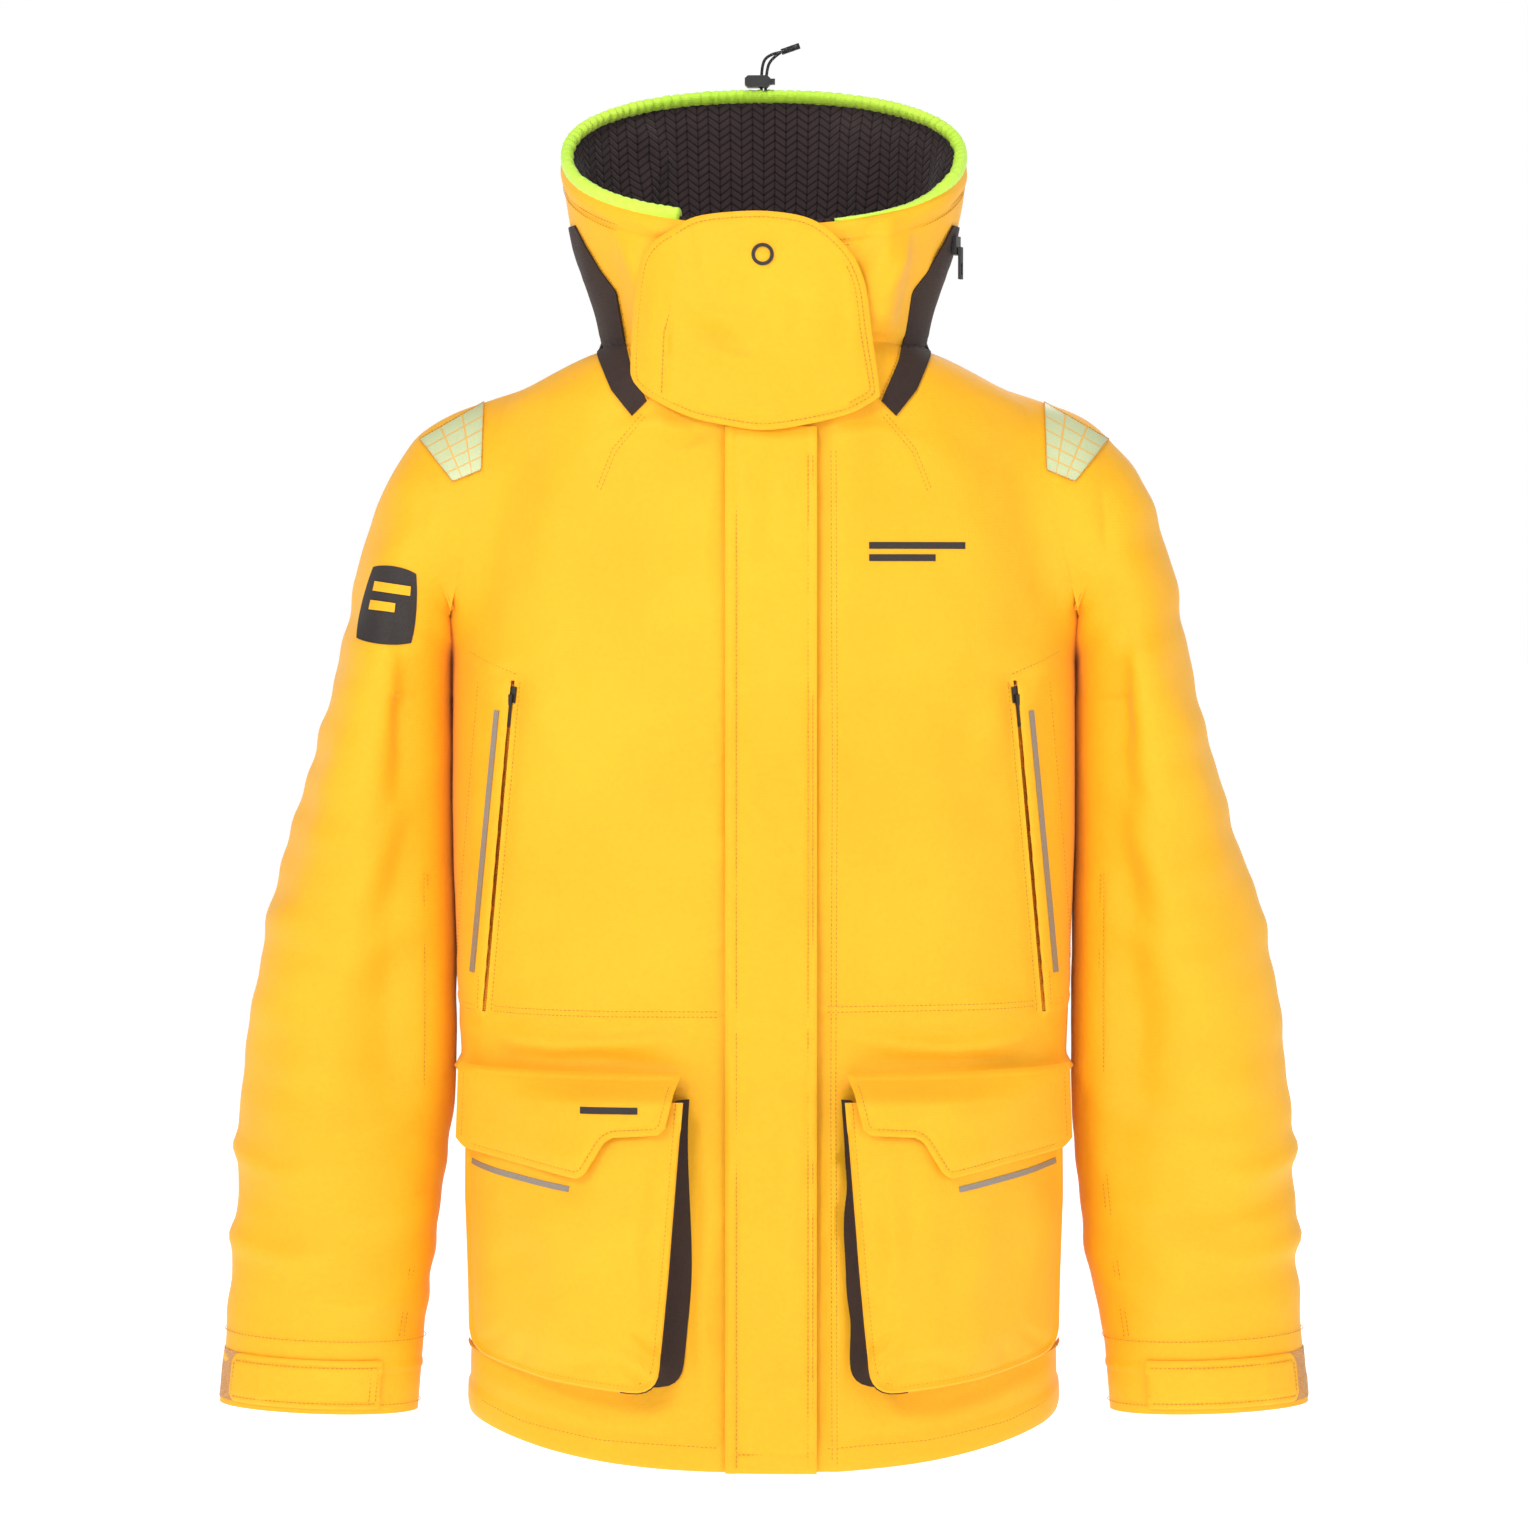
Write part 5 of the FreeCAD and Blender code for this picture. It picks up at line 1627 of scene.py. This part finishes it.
def dress(material, *names):
    """Gives CAD pieces that stay in view their detailed material."""
    for name in names:
        o = bpy.data.objects[name]
        o.data.materials.clear()
        o.data.materials.append(material)


dress(TAPE, "main_zip_tapes", "hood_zip_tape")
dress(AMBER, "chest_zip_tapes")
dress(BLACK, "main_zip_upper_slider", "main_zip_lower_slider", "chest_zip_slider_right",
      "chest_zip_slider_left", "hood_zip_slider", "cord_lock_body", "cord_lock_button")
dress(PULL, "main_zip_upper_pull", "main_zip_lower_pull", "chest_zip_pull_right",
      "chest_zip_pull_left", "hood_zip_pull")
dress(HOOK, "flap_hook_strip", "flap_loop_strip")
dress(STEEL, "cord_lock_spring")
dress(YELLOW_IN, "inner_storm_guard", "chest_pocket_bags")
dress(WEB, "hang_loop")


# ---- Hood rolled up under its cover at the back of the collar ----
def make_stowed_hood():
    rows, cols = 40, 150
    s = np.linspace(-0.86, 0.86, cols)
    v, ss = np.meshgrid(np.linspace(0, 1, rows), s, indexing="ij")
    z = 88 + 66 * v
    half, deep, mid, power = section(COLLAR, z)
    u = (ss + 0.86) / 1.72
    bulge = 4 + 9 * np.sin(math.pi * v) * np.sin(math.pi * (0.08 + 0.84 * u))
    rolls = 1.6 * np.sin(v * 9 + 2 * np.sin(u * 7)) * np.sin(math.pi * v)
    for name, low, grow, material, node in (
            ("packed_hood_roll", 0.0, 0.8, YELLOW_IN, "packed_hood"),
            ("hood_cover", 1.6, 1.0, YELLOW, "hood_stow_cover")):
        off = low + grow * (bulge + rolls + 0.9 * ripples(ss * 130, z, 0 * z, 46, 103))
        off = np.maximum(off, 0.8 + low)
        drop = (1 - np.abs(ss) ** power) ** (1 / power)
        p = np.stack([(half + off) * ss, mid + (deep + off) * drop, z], -1)
        o = mesh_object(name, p.reshape(-1, 3), grid_faces(rows, cols), material)
        face_out(o, way=(0, 1, 0))
        thick(o, 1.5 if grow == 1.0 else 3.0)
        finish_piece(o, "torso", "shell_fabric", node)
        if grow == 1.0:
            for row in (2, rows - 3):
                stitch("torso", p[row] + [0, 0.4, 0], np.tile([0.0, 1.0, 0.0], (cols, 1)))
            cover = o
    return cover


make_stowed_hood()


# ---- Hood cords: two limp elastics from the lock to their end ----
def flecked():
    m, nodes, links, shader = nodes_of("flecked_cord")
    coords = nodes.new("ShaderNodeTexCoord").outputs["Object"]
    x, y = (wave(nodes, links, coords, 260.0, d) for d in "XZ")
    braid = math_node(nodes, links, "MULTIPLY", x, y)
    fleck = noise(nodes, links, coords, 700.0, 1.0)
    mix = math_node(nodes, links, "MULTIPLY", braid, math_node(nodes, links, "GREATER_THAN", fleck, 0.60))
    links.new(blend_colors(nodes, links, mix, (0.012, 0.011, 0.012), (0.42, 0.42, 0.40), 0.3, 0.6),
              shader.inputs["Base Color"])
    shader.inputs["Roughness"].default_value = 0.75
    bump(nodes, links, shader, braid, 0.0003)
    return m


CORD = flecked()
CORD_D = 0.0023


def hood_cord(side, route):
    curve = bpy.data.curves.new(f"elastic_{side}", "CURVE")
    curve.dimensions = "3D"
    spline = curve.splines.new("NURBS")
    spline.points.add(len(route) - 1)
    for point, place in zip(spline.points, route):
        point.co = (*(c * MM for c in place), 1)
    spline.order_u = 3
    spline.use_endpoint_u = True
    spline.resolution_u = 12
    curve.bevel_depth = CORD_D / 2
    curve.bevel_resolution = 4
    curve.use_fill_caps = True
    curve.materials.append(CORD)
    o = bpy.data.objects.new(f"elastic_{side}", curve)
    bpy.context.scene.collection.objects.link(o)
    finish_piece(o, "torso", "cord", f"hood_cord_{side}")


dress(CORD, "hood_cord_end")
hood_cord("right", [(-2, 19, 206), (-2.5, 19, 226), (4, 17, 234.5), (13.2, 14.6, 235.6)])
hood_cord("left", [(1.2, 16, 206), (1.8, 15.6, 223), (6.5, 13.2, 231), (13.2, 11.4, 235.2)])


# ---- Thread ----
for body_name, (verts, thread_faces) in STITCHES.items():
    o = mesh_object(f"stitches_{body_name}", verts, thread_faces, THREAD, smooth_faces=False)
    finish_piece(o, body_name, "shell_fabric")


# ---- Studio: a wide pale floor, a pale band round the horizon, and soft lamps ----
def studio():
    pale, nodes, links, shader = nodes_of("studio_floor")
    coords = nodes.new("ShaderNodeTexCoord").outputs["Object"]
    shade = noise(nodes, links, coords, 1.3, 2.0)
    links.new(blend_colors(nodes, links, shade, (0.90, 0.90, 0.90), (0.93, 0.93, 0.93), 0.3, 0.7),
              shader.inputs["Base Color"])
    shader.inputs["Roughness"].default_value = 0.9
    shader.inputs["Emission Color"].default_value = (1, 1, 1, 1)
    shader.inputs["Emission Strength"].default_value = 0.75
    wide = 40000.0
    corners = [(-wide, -wide, -930), (wide, -wide, -930), (-wide, wide, -930), (wide, wide, -930)]
    mesh_object("studio_floor", corners, [(0, 1, 3, 2)], pale)
    lamps = [  # name, place, aim, size, power, colour
        ("key", (-1.5, -3.0, 1.5), (0, 0, -0.3), 1.1, 44, (1.0, 0.99, 0.97)),
        ("fill", (1.9, -3.0, 0.6), (0, 0, -0.3), 1.6, 14, (0.98, 0.99, 1.0)),
        ("top", (0.0, -1.1, 2.1), (0, 0, -0.2), 1.2, 20, (1.0, 1.0, 1.0)),
        ("low", (0.0, -3.2, -0.6), (0, 0, -0.4), 1.6, 4, (1.0, 1.0, 1.0)),
        ("back", (0.6, 2.8, 1.4), (0, 0, -0.3), 1.6, 16, (1.0, 1.0, 1.0)),
    ]
    for name, place, target, size, power, color in lamps:
        data = bpy.data.lights.new(name, "AREA")
        data.shape = "DISK"
        data.size = size
        data.energy = power
        data.color = color
        lamp = bpy.data.objects.new(name, data)
        lamp.location = place
        lamp.rotation_euler = (Vector(target) - lamp.location).to_track_quat("-Z", "Y").to_euler()
        bpy.context.scene.collection.objects.link(lamp)
    world = bpy.data.worlds.new("studio")
    world.use_nodes = True
    nodes, links = world.node_tree.nodes, world.node_tree.links
    split = nodes.new("ShaderNodeSeparateXYZ")
    links.new(nodes.new("ShaderNodeTexCoord").outputs["Generated"], split.inputs[0])
    band = nodes.new("ShaderNodeMapRange")
    band.interpolation_type = "SMOOTHSTEP"
    for socket, value in zip(band.inputs[1:5], (0.20, 0.42, 1.0, 0.22)):
        socket.default_value = value
    links.new(math_node(nodes, links, "ABSOLUTE", split.outputs[2]), band.inputs[0])
    links.new(band.outputs[0], nodes["Background"].inputs["Strength"])
    nodes["Background"].inputs["Color"].default_value = (1, 1, 1, 1)
    bpy.context.scene.world = world
    bpy.context.scene.view_settings.view_transform = "Standard"


studio()
bpy.context.view_layer.update()
